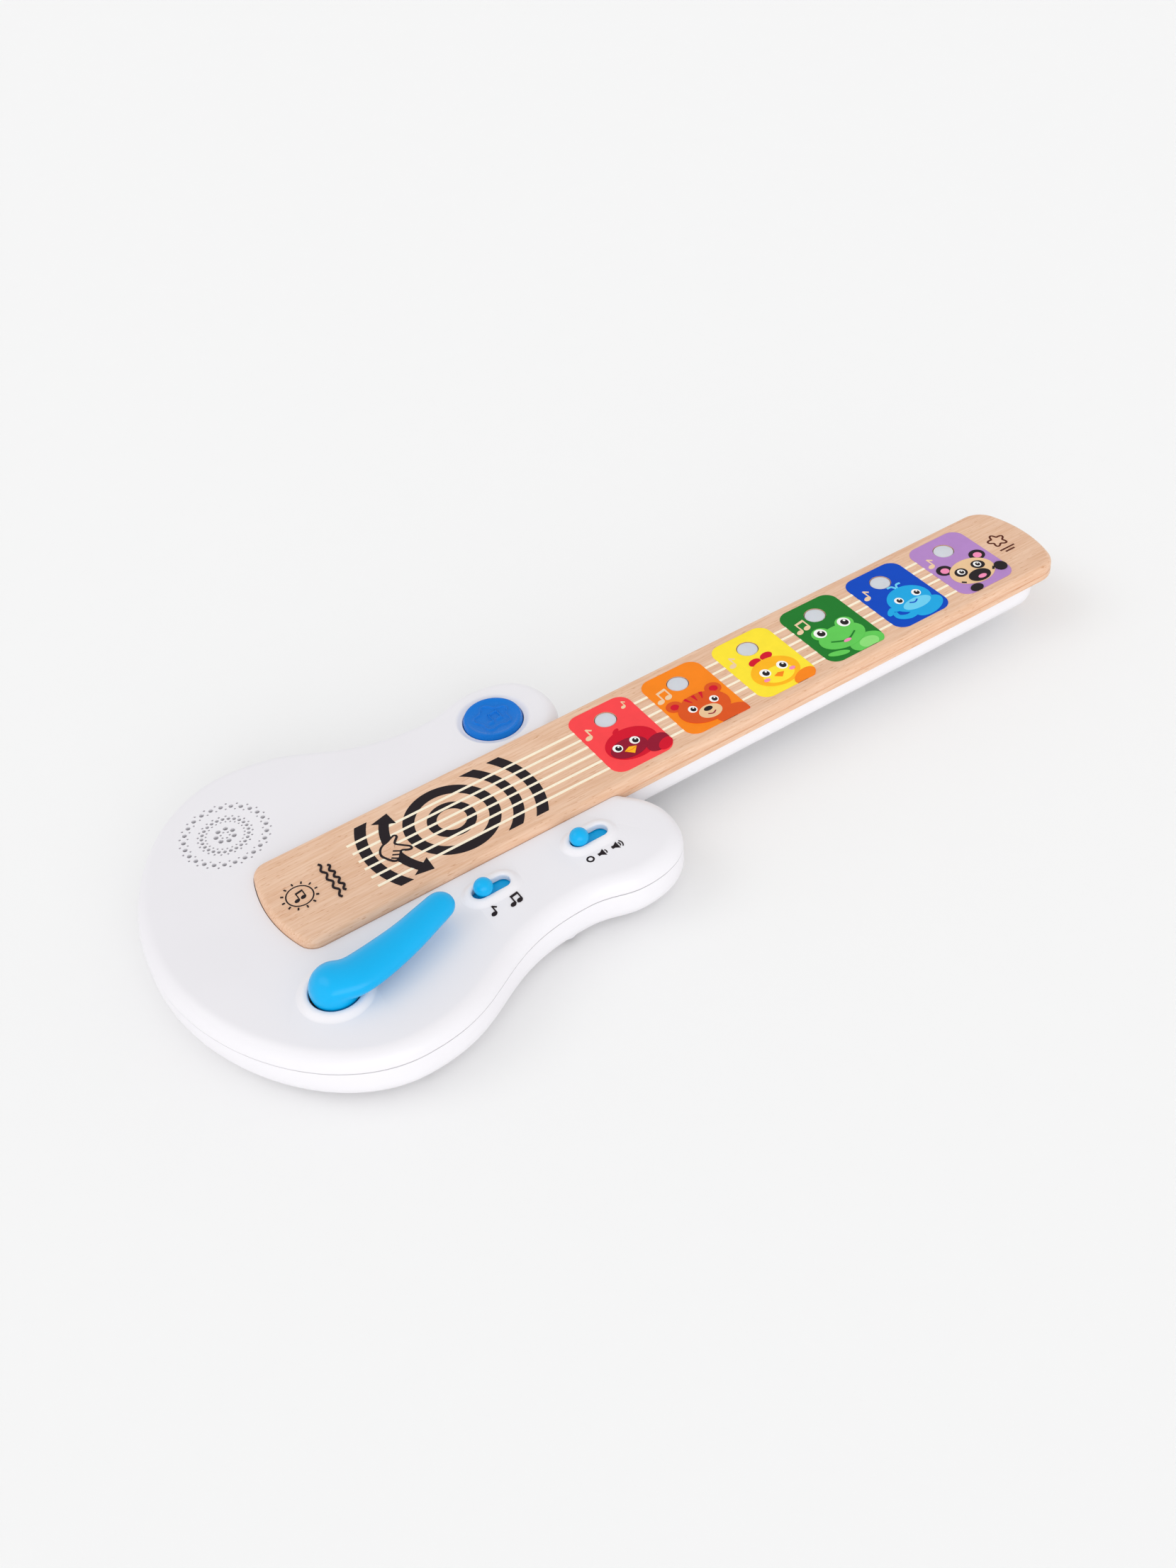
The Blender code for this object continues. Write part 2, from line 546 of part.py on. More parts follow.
def build_neck_cover():
    shell = open_shell("neck_cover", neck_outline(), NECK_BOTTOM, NECK_TOP, WHITE, open_x=ROOT_X + GAP)
    add_bevel(shell, NECK_EDGE, 4)
    add_wall(shell, NECK_WALL)
    added, cuts = bmesh.new(), bmesh.new()
    for x in NECK_SCREW_X:
        cylinder(added, x, 0, NECK_BOTTOM + NECK_WALL / 2, NECK_TOP, BOSS_RADIUS, 10)
        turned(cuts, [(0, NECK_TOP + 4 * MM), (SCREW_RADIUS + GAP, NECK_TOP + 4 * MM),
                      (SCREW_RADIUS + GAP, NECK_BOTTOM + SCREW_HEAD_HEIGHT + 1.0 * MM),
                      (SCREW_HEAD + GAP, NECK_BOTTOM + SCREW_HEAD_HEIGHT + 1.0 * MM),
                      (SCREW_HEAD + GAP, NECK_BOTTOM - 4 * MM), (0, NECK_BOTTOM - 4 * MM)], x, 0, 10)
    boolean(shell, new_object("neck_cover_added", added), "UNION")
    boolean(shell, new_object("neck_cover_cuts", cuts), "DIFFERENCE")
    smooth(shell)


def build_battery_door():
    bm = bmesh.new()
    lip_x, lip_y = BAY_HALF_X + DOOR_LIP - GAP, BAY_HALF_Y + DOOR_LIP - GAP
    tab_y = DOOR_SCREW_AT[1] + DOOR_TAB / 2 - GAP
    box(bm, (BAY_X - lip_x, -lip_y, BODY_BOTTOM), (BAY_X + lip_x, tab_y, DOOR_TOP))
    door = new_object("battery_door", bm, WHITE)
    cuts = bmesh.new()
    cylinder(cuts, *DOOR_SCREW_AT, 0.0, DOOR_TOP + 5.0 * MM, SCREW_RADIUS + GAP, 8)
    boolean(door, new_object("battery_door_cuts", cuts), "DIFFERENCE")


# ---------------------------------------------------------------- fingerboard and lights

def build_fingerboard():
    bm = bmesh.new()
    top = prism(bm, board_outline(), BOARD_BOTTOM, BOARD_TOP)
    bmesh.ops.bevel(bm, geom=list(top.edges), offset=BOARD_EDGE, segments=3, profile=0.5, affect="EDGES")
    board = new_object("fingerboard", bm, WOOD)
    cuts = bmesh.new()
    for x in PAD_X:
        cylinder(cuts, x, WINDOW_OFFSET, BOARD_BOTTOM - 2.0 * MM, BOARD_TOP + 2.0 * MM,
                 WINDOW_DIAMETER / 2 + GAP, 20)
    for x in NECK_SCREW_X:
        cylinder(cuts, x, 0, BOARD_BOTTOM - 2.0 * MM, BOARD_BOTTOM + 5.5 * MM, SCREW_RADIUS + GAP, 8)
    boolean(board, new_object("fingerboard_cuts", cuts), "DIFFERENCE")
    smooth(board)


def build_lights():
    for n, x in enumerate(PAD_X, start=1):
        bm = bmesh.new()
        cylinder(bm, x, WINDOW_OFFSET, BOARD_TOP - WINDOW_DEPTH, BOARD_TOP - 0.1 * MM,
                 WINDOW_DIAMETER / 2, 20)
        smooth(new_object(f"light_window_{n}", bm, WINDOW))
        half_x, half_y, height = LIGHT_SIZE[0] / 2, LIGHT_SIZE[1] / 2, LIGHT_SIZE[2]
        lamp = bmesh.new()
        box(lamp, (x - half_x, WINDOW_OFFSET - half_y, BOARD_BOTTOM),
            (x + half_x, WINDOW_OFFSET + half_y, BOARD_BOTTOM + height))
        new_object(f"pad_light_{n}", lamp, LAMP)


def build_touch_circuit():
    bm = bmesh.new()
    half = TOUCH_CIRCUIT_WIDTH / 2
    box(bm, (LOW_X + 22.0 * MM, -half, TOUCH_BOTTOM), (PAD_X[-1] + 12.0 * MM, half, TOUCH_TOP))
    circuit = new_object("touch_circuit", bm, CIRCUIT)
    cuts = bmesh.new()
    for x in NECK_SCREW_X:
        cylinder(cuts, x, 0, TOUCH_BOTTOM - 2 * MM, TOUCH_TOP + 2 * MM, BOSS_RADIUS + 0.6 * MM, 12)
    boolean(circuit, new_object("touch_circuit_cuts", cuts), "DIFFERENCE")


# ---------------------------------------------------------------- push button

def build_button():
    radius = BUTTON_DIAMETER / 2
    top = BODY_TOP + BUTTON_PROUD
    flange_top = CEILING_Z - 0.4 * MM
    flange_bottom = flange_top - 1.5 * MM
    bm = bmesh.new()
    turned(bm, [(0, top - BUTTON_DISH), (radius * 0.55, top - BUTTON_DISH * 0.8),
                (radius * 0.78, top - BUTTON_DISH * 0.3), (radius - 1.6 * MM, top),
                (radius - 0.6 * MM, top - 0.35 * MM),
                (radius, top - 1.4 * MM), (radius, flange_top), (radius + BUTTON_FLANGE, flange_top),
                (radius + BUTTON_FLANGE, flange_bottom), (3.0 * MM, flange_bottom),
                (3.0 * MM, button_switch_top() + BUTTON_TRAVEL + GAP),
                (0, button_switch_top() + BUTTON_TRAVEL + GAP)], steps=28)
    smooth(new_object("button_cap", bm, BUTTON_BLUE, (*BUTTON_AT, 0)))

    spring_bottom = button_circuit_top() + GAP + 0.3 * MM
    coil = coil_points(*BUTTON_AT, 6.2 * MM, spring_bottom, flange_bottom - GAP - 0.3 * MM, 3.5, 8)
    tube("button_spring", coil, 0.3 * MM, STEEL, sides=1)

    circuit = bmesh.new()
    z = button_circuit_top()
    box(circuit, (BUTTON_AT[0] - 11.0 * MM, BUTTON_AT[1] - 9.0 * MM, z - CIRCUIT_THICK),
        (BUTTON_AT[0] + 11.0 * MM, BUTTON_AT[1] + 9.0 * MM, z))
    new_object("button_circuit", circuit, CIRCUIT)
    switch = bmesh.new()
    box(switch, (-3.0 * MM, -3.0 * MM, z + GAP), (3.0 * MM, 3.0 * MM, z + GAP + 3.0 * MM))
    part = new_object("button_switch", switch, BLACK, (*BUTTON_AT, 0))
    plunger = bmesh.new()
    cylinder(plunger, *BUTTON_AT, z + 2.0 * MM, button_switch_top(), 1.7 * MM, 10)
    boolean(part, new_object("button_switch_plunger", plunger), "UNION")


def button_circuit_top():
    return FLOOR_Z + 6.0 * MM


def button_switch_top():
    return button_circuit_top() + GAP + 4.2 * MM


def coil_points(x, y, radius, z0, z1, turns, per_turn):
    count = round(turns * per_turn)
    angles = [2 * math.pi * n / per_turn for n in range(count + 1)]
    return [(x + radius * math.cos(angle), y + radius * math.sin(angle), z0 + (z1 - z0) * n / count)
            for n, angle in enumerate(angles)]


# ---------------------------------------------------------------- slide switches

def switch_circuit_top():
    return FLOOR_Z + 9.0 * MM


def switch_top():
    return switch_circuit_top() + GAP + SWITCH_SIZE[2]


def build_slide(name, slot, start, travel):
    """A ball knob on a skirt that hides the slot, and the slide switch that its post works."""
    x = slot[0] - SLOT_LENGTH / 2 + KNOB_DIAMETER / 2 + start
    y = slot[1]
    radius = KNOB_DIAMETER / 2
    ball_z = BODY_TOP + KNOB_HEIGHT
    skirt_top = CEILING_Z - RUNNING_GAP
    skirt_bottom = skirt_top - 1.4 * MM
    neck = SLOT_WIDTH / 2 - RUNNING_GAP
    bm = bmesh.new()
    meet = -math.acos(neck / radius)
    turned(bm, sphere_profile(radius, ball_z, math.pi / 2, meet, 7)
           + [(neck, skirt_bottom + 0.5 * MM), (0, skirt_bottom + 0.5 * MM)], steps=16)
    knob = new_object(f"{name}_knob", bm, LIGHT_BLUE, (x, y, 0))
    skirt = bmesh.new()
    middle = slot[0] - travel / 2
    reach = SLOT_LENGTH / 2 + travel / 2 + SKIRT_OVERLAP
    box(skirt, (middle - reach, y - SKIRT_WIDTH / 2, skirt_bottom),
        (middle + reach, y + SKIRT_WIDTH / 2, skirt_top))
    boolean(knob, new_object(f"{name}_skirt", skirt), "UNION")
    post = bmesh.new()
    box(post, (x - 1.5 * MM, y - 1.2 * MM, switch_top() - 2.5 * MM),
        (x + 1.5 * MM, y + 1.2 * MM, skirt_bottom + 0.7 * MM))
    boolean(knob, new_object(f"{name}_post", post), "UNION")
    smooth(knob)

    length, width, height = SWITCH_SIZE
    z = switch_circuit_top() + GAP
    centre = x + travel / 2
    body = bmesh.new()
    box(body, (centre - length / 2, y - width / 2, z), (centre + length / 2, y + width / 2, z + height))
    switch = new_object(f"{name}_switch", body, STEEL)
    groove = bmesh.new()
    reach = travel / 2 + 1.5 * MM + RUNNING_GAP
    box(groove, (centre - reach, y - 1.2 * MM - RUNNING_GAP, z + height - 2.5 * MM - GAP),
        (centre + reach, y + 1.2 * MM + RUNNING_GAP, z + height + 5.0 * MM))
    boolean(switch, new_object(f"{name}_groove", groove), "DIFFERENCE")


def switch_circuit_span():
    return MODE_AT[0] - 14.0 * MM, VOLUME_AT[0] + 13.0 * MM


def build_switch_circuit():
    low, high = switch_circuit_span()
    top = switch_circuit_top()
    bm = bmesh.new()
    box(bm, (low, -SLOT_OFFSET - 9.5 * MM, top - CIRCUIT_THICK), (high, -SLOT_OFFSET + 6.4 * MM, top))
    new_object("switch_circuit", bm, CIRCUIT)


# ---------------------------------------------------------------- main circuit

def main_circuit_span():
    return BAY_X + BAY_HALF_X + BAY_WALL + 6.0 * MM, ROOT_X - 6.5 * MM


def main_circuit_top():
    return FLOOR_Z + 4.5 * MM


def build_main_circuit():
    low, high = main_circuit_span()
    z = main_circuit_top()
    bm = bmesh.new()
    box(bm, (low, -24.0 * MM, z - CIRCUIT_THICK), (high, 24.0 * MM, z))
    new_object("main_circuit", bm, CIRCUIT)
    chip = bmesh.new()
    turned(chip, sphere_profile(6.5 * MM, z + GAP - 4.0 * MM, math.pi / 2, math.asin(4.0 / 6.5), 3)
           + [(0, z + GAP)], (low + high) / 2, 4.0 * MM, 12)
    smooth(new_object("sound_chip", chip, BLACK))


def main_circuit_posts():
    low, high = main_circuit_span()
    return [(x, y) for x in (low + 4.0 * MM, high - 4.0 * MM) for y in (-20.0 * MM, 20.0 * MM)]


def switch_circuit_posts():
    low, high = switch_circuit_span()
    return [(low + 5.0 * MM, -SLOT_OFFSET - 6.0 * MM), (high - 5.0 * MM, -SLOT_OFFSET - 4.0 * MM)]


def button_circuit_posts():
    x, y = BUTTON_AT
    return [(x - 7.0 * MM, y + 5.0 * MM), (x + 7.0 * MM, y - 5.0 * MM)]


def post_top(x, y):
    if (x, y) in main_circuit_posts():
        return main_circuit_top() - CIRCUIT_THICK - GAP
    if (x, y) in switch_circuit_posts():
        return switch_circuit_top() - CIRCUIT_THICK - GAP
    return button_circuit_top() - CIRCUIT_THICK - GAP


# ---------------------------------------------------------------- leads

def smooth_route(points, per_span):
    """Points read from a smooth curve that passes through each of the route's own points."""
    route = [Vector(point) for point in points]
    read = []
    for n in range(len(route) - 1):
        before, after = route[max(n - 1, 0)], route[min(n + 2, len(route) - 1)]
        start, end = route[n], route[n + 1]
        read += interpolate_bezier(start, start + (end - before) / 6, end - (after - start) / 6, end,
                                   per_span + 1)[:-1]
    return [tuple(point) for point in read + [route[-1]]]


def build_leads():
    """The speaker's lead, round the battery bay, and the flat lead from the touch circuit."""
    circuit_low = main_circuit_span()[0]
    above = main_circuit_top() + GAP + LEAD_RADIUS
    bay_side = BAY_HALF_Y + BAY_WALL
    x, y = SPEAKER_AT
    start_z = CEILING_Z - GAP - SPEAKER_DEPTH - 3.0 * MM
    route = [(x + MAGNET_RADIUS + GAP + LEAD_RADIUS, y - 2.0 * MM, start_z),
             (x + MAGNET_RADIUS + 9.0 * MM, y - 5.0 * MM, start_z - 1.5 * MM),
             (BAY_X - 6.0 * MM, bay_side + DOOR_TAB + 3.5 * MM, FLOOR_Z + 3.0 * MM),
             (BAY_X + 16.0 * MM, bay_side + DOOR_TAB + 0.5 * MM, FLOOR_Z + 3.0 * MM),
             (circuit_low + 1.0 * MM, bay_side + 2.0 * MM, FLOOR_Z + 5.5 * MM),
             (circuit_low + 9.0 * MM, 20.0 * MM, above + 0.6 * MM),
             (circuit_low + 13.0 * MM, 13.0 * MM, above)]
    smooth(tube("speaker_lead", smooth_route(route, 4), LEAD_RADIUS, BLACK, sides=2))

    low_z, high_z = main_circuit_top() + GAP, TOUCH_BOTTOM - GAP - RIBBON_THICK
    x = circuit_low + 8.0 * MM
    path = smooth_route([(x + 7.0 * MM, 0, low_z), (x + 1.5 * MM, 0, low_z + 0.8 * MM),
                         (x, 0, (low_z + high_z) / 2), (x + 1.5 * MM, 0, high_z - 0.8 * MM),
                         (x + 7.0 * MM, 0, high_z)], 3)
    half = RIBBON_WIDTH / 2
    sections = []
    for before, place, after in zip([path[0]] + path, path, path[1:] + [path[-1]]):
        ahead = (Vector(after) - Vector(before)).normalized()
        inner = Vector(place) + RIBBON_THICK * Vector((ahead.z, 0, -ahead.x))
        sections.append([(place[0], -half, place[2]), (place[0], half, place[2]),
                         (inner.x, half, inner.z), (inner.x, -half, inner.z)])
    bm = bmesh.new()
    loft(bm, sections)
    bmesh.ops.translate(bm, vec=(0, -12.0 * MM, 0), verts=bm.verts)
    new_object("touch_ribbon", bm, WINDOW)


# ---------------------------------------------------------------- whammy bar

def whammy_sections(sides=16):
    """Oval rings across the arm's path, closing to a round tip."""
    stations = [tuple(value * MM for value in row) for row in WHAMMY_ARM]
    last, before = Vector(stations[-1][:3]), Vector(stations[-2][:3])
    ahead = (last - before).normalized()
    half_width, half_height = stations[-1][3:]
    for degrees in (28, 52, 72, 87):
        turn = math.radians(degrees)
        place = last + ahead * half_width * math.sin(turn)
        stations.append((*place, half_width * math.cos(turn), half_height * math.cos(turn)))
    sections = []
    for n, (along, across, height, wide, high) in enumerate(stations):
        near, far = stations[max(n - 1, 0)], stations[min(n + 1, len(stations) - 1)]
        way = Vector((far[0] - near[0], far[1] - near[1], 0)).normalized()
        side = Vector((way.y, -way.x, 0))
        centre = Vector((WHAMMY_AT[0] + along, WHAMMY_AT[1] + across, BODY_TOP + height))
        angles = [2 * math.pi * k / sides for k in range(sides)]
        sections.append([tuple(centre + side * wide * math.cos(a) + Vector((0, 0, high * math.sin(a))))
                         for a in angles])
    return sections


def build_whammy():
    ball_z = BODY_TOP + WHAMMY_BALL_HEIGHT
    hub_bottom = CEILING_Z - 0.6 * MM + RUNNING_GAP
    bm = bmesh.new()
    turned(bm, sphere_profile(WHAMMY_BALL, ball_z, math.pi / 2, 0, 7)
           + [(WHAMMY_BALL, hub_bottom), (WHAMMY_STEM, hub_bottom), (WHAMMY_STEM, WHAMMY_STEM_BOTTOM),
              (0, WHAMMY_STEM_BOTTOM)], steps=24)
    bar = new_object("whammy_bar", bm, LIGHT_BLUE, (*WHAMMY_AT, 0))
    arm = bmesh.new()
    loft(arm, whammy_sections())
    arm = new_object("whammy_arm", arm)
    boolean(bar, arm, "UNION")
    hole = bmesh.new()
    cylinder(hole, *WHAMMY_AT, WHAMMY_STEM_BOTTOM - 2.0 * MM, WHAMMY_STEM_BOTTOM + 7.0 * MM,
             SCREW_RADIUS + GAP, 8)
    boolean(bar, new_object("whammy_bar_hole", hole), "DIFFERENCE")
    smooth(bar, math.radians(50))

    washer_top = WHAMMY_STEM_BOTTOM - GAP
    washer = bmesh.new()
    ring(washer, SCREW_RADIUS + GAP, WHAMMY_STEM + 3.2 * MM, washer_top - 1.2 * MM, washer_top, 0, 0, 16)
    new_object("whammy_washer", washer, STEEL, (*WHAMMY_AT, 0))
    screw("whammy_screw", *WHAMMY_AT, washer_top - 1.2 * MM - GAP, WHAMMY_STEM_BOTTOM + 6.0 * MM)
    coil = coil_points(*WHAMMY_AT, WHAMMY_STEM + 3.9 * MM, WHAMMY_STEM_BOTTOM + 2.0 * MM,
                       CEILING_Z - 3.4 * MM, 3.5, 8)
    tube("whammy_spring", coil, 0.45 * MM, STEEL, sides=1)
    sensor = bmesh.new()
    box(sensor, (-8.0 * MM, -6.0 * MM, FLOOR_Z + GAP), (8.0 * MM, 6.0 * MM, FLOOR_Z + GAP + 1.6 * MM))
    new_object("whammy_sensor", sensor, CIRCUIT, (*WHAMMY_AT, 0))


# ---------------------------------------------------------------- speaker and batteries

def build_speaker():
    top = CEILING_Z - GAP
    radius = SPEAKER_RADIUS
    low = top - SPEAKER_DEPTH
    basket = bmesh.new()
    opening = MAGNET_RADIUS - 5.0 * MM
    turned(basket, [(radius, top), (radius, top - 1.6 * MM), (radius - 2.6 * MM, top - 1.6 * MM),
                    (MAGNET_RADIUS, low), (opening, low), (opening, low + 1.2 * MM),
                    (MAGNET_RADIUS - 0.8 * MM, low + 1.2 * MM), (radius - 3.6 * MM, top - 1.0 * MM),
                    (radius - 2.6 * MM, top)])
    smooth(new_object("speaker_basket", basket, STEEL, (*SPEAKER_AT, 0)))
    cone = bmesh.new()
    turned(cone, [(0, low + 4.6 * MM), (4.6 * MM, low + 3.4 * MM), (radius - 5.2 * MM, top - 0.9 * MM),
                  (radius - 4.9 * MM, top - 1.7 * MM), (5.0 * MM, low + 2.2 * MM), (0, low + 3.4 * MM)])
    smooth(new_object("speaker_cone", cone, BLACK, (*SPEAKER_AT, 0)))
    magnet = bmesh.new()
    cylinder(magnet, 0, 0, low - GAP - MAGNET_HEIGHT, low - GAP, MAGNET_RADIUS, 20)
    smooth(new_object("speaker_magnet", magnet, STEEL, (*SPEAKER_AT, 0)))


def build_batteries():
    """Cells lie across the body and point by turns to +Y and -Y, each with a spring at its flat end."""
    inner = BAY_HALF_Y - CONTACT_THICK - GAP
    for n in range(CELL_COUNT):
        x = BAY_X + (n - (CELL_COUNT - 1) / 2) * CELL_PITCH
        way = 1 if n % 2 == 0 else -1
        bm = bmesh.new()
        half = CELL_LENGTH / 2
        turned(bm, [(0, half), (2.7 * MM, half), (2.7 * MM, half - 1.0 * MM),
                    (CELL_DIAMETER / 2, half - 1.0 * MM), (CELL_DIAMETER / 2, -half), (0, -half)], steps=16)
        centre = way * (inner - GAP - half)
        bm.transform(Matrix.Rotation(-way * math.pi / 2, 4, "X"))
        cell = new_object(f"battery_cell_{n + 1}", bm, CELL, (x, centre, CELL_Z))
        smooth(cell)
        flat = -way * (inner - GAP - 0.35 * MM)
        cell_end = centre - way * (half + GAP + 0.35 * MM)
        turns = coil_points(0, 0, 3.6 * MM, flat, cell_end, 2, 8)
        tube(f"battery_spring_{n + 1}", [(x + p[0], p[2], CELL_Z + p[1]) for p in turns], 0.35 * MM,
             STEEL, sides=1)
    for side, name in ((1, "battery_contact_front"), (-1, "battery_contact_back")):
        bm = bmesh.new()
        near, far = sorted((side * (BAY_HALF_Y - GAP), side * (BAY_HALF_Y - GAP - CONTACT_THICK)))
        box(bm, (BAY_X - BAY_HALF_X + GAP, near, DOOR_TOP + 2 * GAP),
            (BAY_X + BAY_HALF_X - GAP, far, BAY_ROOF - 1.0 * MM))
        new_object(name, bm, STEEL)


# ---------------------------------------------------------------- screws and feet

def screw(name, x, y, seat_z, tip_z):
    """A pan-head screw driven upwards, its head's upper face at seat_z."""
    bm = bmesh.new()
    turned(bm, [(0, tip_z), (SCREW_RADIUS * 0.5, tip_z), (SCREW_RADIUS, tip_z - 1.2 * MM),
                (SCREW_RADIUS, seat_z), (SCREW_HEAD, seat_z), (SCREW_HEAD * 0.8, seat_z - SCREW_HEAD_HEIGHT),
                (0, seat_z - SCREW_HEAD_HEIGHT)], steps=10)
    smooth(new_object(name, bm, STEEL, (x, y, 0)))


def build_screws():
    for n, (x, y) in enumerate(CASING_SCREWS, start=1):
        screw(f"casing_screw_{n}", x, y, HEAD_SEAT - GAP, BOSS_MEETING + 7.0 * MM)
    for n, x in enumerate(NECK_SCREW_X, start=1):
        seat = NECK_BOTTOM + SCREW_HEAD_HEIGHT + 1.0 * MM - GAP
        screw(f"neck_screw_{n}", x, 0, seat, BOARD_BOTTOM + 4.5 * MM)
    bm = bmesh.new()
    head = BODY_BOTTOM - GAP
    turned(bm, [(0, FLOOR_Z + 4.0 * MM), (SCREW_RADIUS, FLOOR_Z + 4.0 * MM), (SCREW_RADIUS, head),
                (SCREW_HEAD, head), (SCREW_HEAD * 0.85, head - 1.1 * MM), (0, head - 1.1 * MM)], steps=10)
    smooth(new_object("battery_door_screw", bm, STEEL, (*DOOR_SCREW_AT, 0)))


def build_feet():
    for n, (x, y) in enumerate(FEET, start=1):
        bm = bmesh.new()
        seat = BODY_BOTTOM + FOOT_SEAT - GAP
        turned(bm, [(0, seat), (FOOT_RADIUS, seat), (FOOT_RADIUS, 0.6 * MM),
                    (FOOT_RADIUS - 0.6 * MM, 0), (0, 0)], steps=16)
        smooth(new_object(f"foot_{n}", bm, RUBBER, (x, y, 0)))


clear_scene()
PARTS = collection("toy_guitar")
CUTTERS = collection("cutters")
CUTTERS.hide_render = True
WHITE = plastic("white ABS", (0.93, 0.93, 0.94), 0.28)
WOOD = plastic("beech", (0.77, 0.50, 0.30), 0.45)
WINDOW = plastic("frosted acrylic", (0.68, 0.65, 0.70), 0.3)
LAMP = plastic("lamp", (0.9, 0.9, 0.8), 0.4)
CIRCUIT = plastic("circuit laminate", (0.03, 0.20, 0.07), 0.4)
BUTTON_BLUE = plastic("blue ABS", (0.006, 0.18, 0.60), 0.25)
LIGHT_BLUE = plastic("light blue ABS", (0.0, 0.40, 0.84), 0.25)
BLACK = plastic("black", (0.02, 0.02, 0.02), 0.6)
STEEL = plastic("steel", (0.6, 0.6, 0.6), 0.3, 1.0)
CELL = plastic("cell sleeve", (0.08, 0.08, 0.09), 0.35)
RUBBER = plastic("rubber", (0.12, 0.12, 0.12), 0.8)

build_casing_top()
build_casing_bottom()
build_neck_cover()
build_battery_door()
build_fingerboard()
build_lights()
build_touch_circuit()
build_button()
build_slide("volume", VOLUME_AT, 0.0, VOLUME_TRAVEL)
build_slide("mode", MODE_AT, MODE_START, MODE_TRAVEL)
build_switch_circuit()
build_main_circuit()
build_leads()
build_whammy()
build_speaker()
build_batteries()
build_screws()
build_feet()
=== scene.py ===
"""Dresses the toy electric guitar: moulded shells, a printed beech fingerboard, a push button, slide
knobs, a whammy bar and their finishes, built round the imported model.

Shapes are worked out in millimetres with numpy and become metres when they are made meshes. The frame is
the model's own: +X along the neck to the head, +Y to the speaker side, +Z up.
"""
import math

import bmesh
import bpy
import numpy as np
from mathutils import Matrix, Vector


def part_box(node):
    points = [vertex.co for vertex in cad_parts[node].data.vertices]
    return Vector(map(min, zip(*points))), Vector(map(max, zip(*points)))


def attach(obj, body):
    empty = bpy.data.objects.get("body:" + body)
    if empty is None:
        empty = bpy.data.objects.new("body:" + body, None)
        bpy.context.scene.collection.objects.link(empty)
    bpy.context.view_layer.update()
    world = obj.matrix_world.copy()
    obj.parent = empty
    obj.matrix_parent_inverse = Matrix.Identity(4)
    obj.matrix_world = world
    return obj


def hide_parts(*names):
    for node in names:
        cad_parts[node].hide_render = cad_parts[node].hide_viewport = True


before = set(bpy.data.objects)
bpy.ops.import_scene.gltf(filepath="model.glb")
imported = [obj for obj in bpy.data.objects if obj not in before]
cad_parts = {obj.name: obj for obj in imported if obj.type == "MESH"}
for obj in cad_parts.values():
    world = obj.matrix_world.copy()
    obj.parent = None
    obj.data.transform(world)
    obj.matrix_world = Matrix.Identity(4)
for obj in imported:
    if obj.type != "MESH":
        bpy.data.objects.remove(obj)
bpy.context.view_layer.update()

MM = 0.001
TAU = 2 * math.pi


# ---------------------------------------------------------------- sizes read from the frame, in mm

def span(node):
    """A node's lowest and highest corners, in millimetres."""
    low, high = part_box(node)
    return np.array(low) / MM, np.array(high) / MM


def middle(node):
    """The point halfway between a node's corners."""
    low, high = span(node)
    return (low + high) / 2


TOP_LOW, TOP_HIGH = span("casing_top")
BOTTOM_LOW = span("casing_bottom")[0]
BOARD_LOW, BOARD_HIGH = span("fingerboard")
NECK_LOW, NECK_HIGH = span("neck_cover")
DOOR_LOW, DOOR_HIGH = span("battery_door")

BOARD_PROUD = 3.4                           # of the board above the body's top face
TOP_SHELL_DEPTH = 7.2
SEAM = 0.3                                  # open line between the two shells
TAIL_X, FRONT_X = TOP_LOW[0], TOP_HIGH[0]
ROOT_X = NECK_LOW[0] - 0.3                  # where the neck leaves the body, behind the horns
LOW_X, HEAD_X = BOARD_LOW[0], BOARD_HIGH[0]
BOUT = TOP_HIGH[1]                          # half the width of the lower bout
BOARD_TOP, BOARD_BOTTOM, BOARD_HALF = BOARD_HIGH[2], BOARD_LOW[2], BOARD_HIGH[1]
BODY_TOP = BOARD_TOP - BOARD_PROUD
SEAM_Z = BODY_TOP - TOP_SHELL_DEPTH
BODY_BOTTOM = BOTTOM_LOW[2]
WALL, NECK_WALL = 2.5, 2.2
BOUT_LENGTH = 69.1                          # from the tail to the widest part of the lower bout
SPINE = (TAIL_X + BOUT_LENGTH, FRONT_X - 52)        # ends of the line that the shells' flats run in to
HEAD_BOW, HEAD_CORNER = 60.0, 12.0          # radii of the board's end at the head
LOW_BOW, LOW_CORNER = 67.0, 7.5             # and of its low end
DOOR_AT, DOOR_HALF = (DOOR_LOW + DOOR_HIGH) / 2, (DOOR_HIGH - DOOR_LOW) / 2
SCREW_HOLE = 3.0                            # radius of each hole that takes a screw's head
PAD_X = [middle(f"light_window_{n}")[0] for n in range(1, 7)]
WINDOW_Y = middle("light_window_1")[1]
WINDOW_RADIUS = (span("light_window_1")[1] - span("light_window_1")[0])[0] / 2
SPEAKER_AT = middle("speaker_magnet")[:2]
BUTTON_AT = middle("button_cap")[:2]
BUTTON_RADIUS, BUTTON_HOLE = 13.2, 13.5
WHAMMY_AT = middle("whammy_washer")[:2]
SOCKET_RADIUS = 10.6                        # of the hole that the whammy bar's ball sits in
SLOT_AT = {"volume_knob": FRONT_X - 35.9, "mode_knob": FRONT_X - 82.1}     # middle of each slot
KNOB_REST = {"volume_knob": -4.5, "mode_knob": -3.3}                       # of each ball from its middle
SLOT_Y = middle("volume_knob")[1]
SLOT_LENGTH, SLOT_WIDTH = 16.8, 6.8


# ---------------------------------------------------------------- curves and surfaces

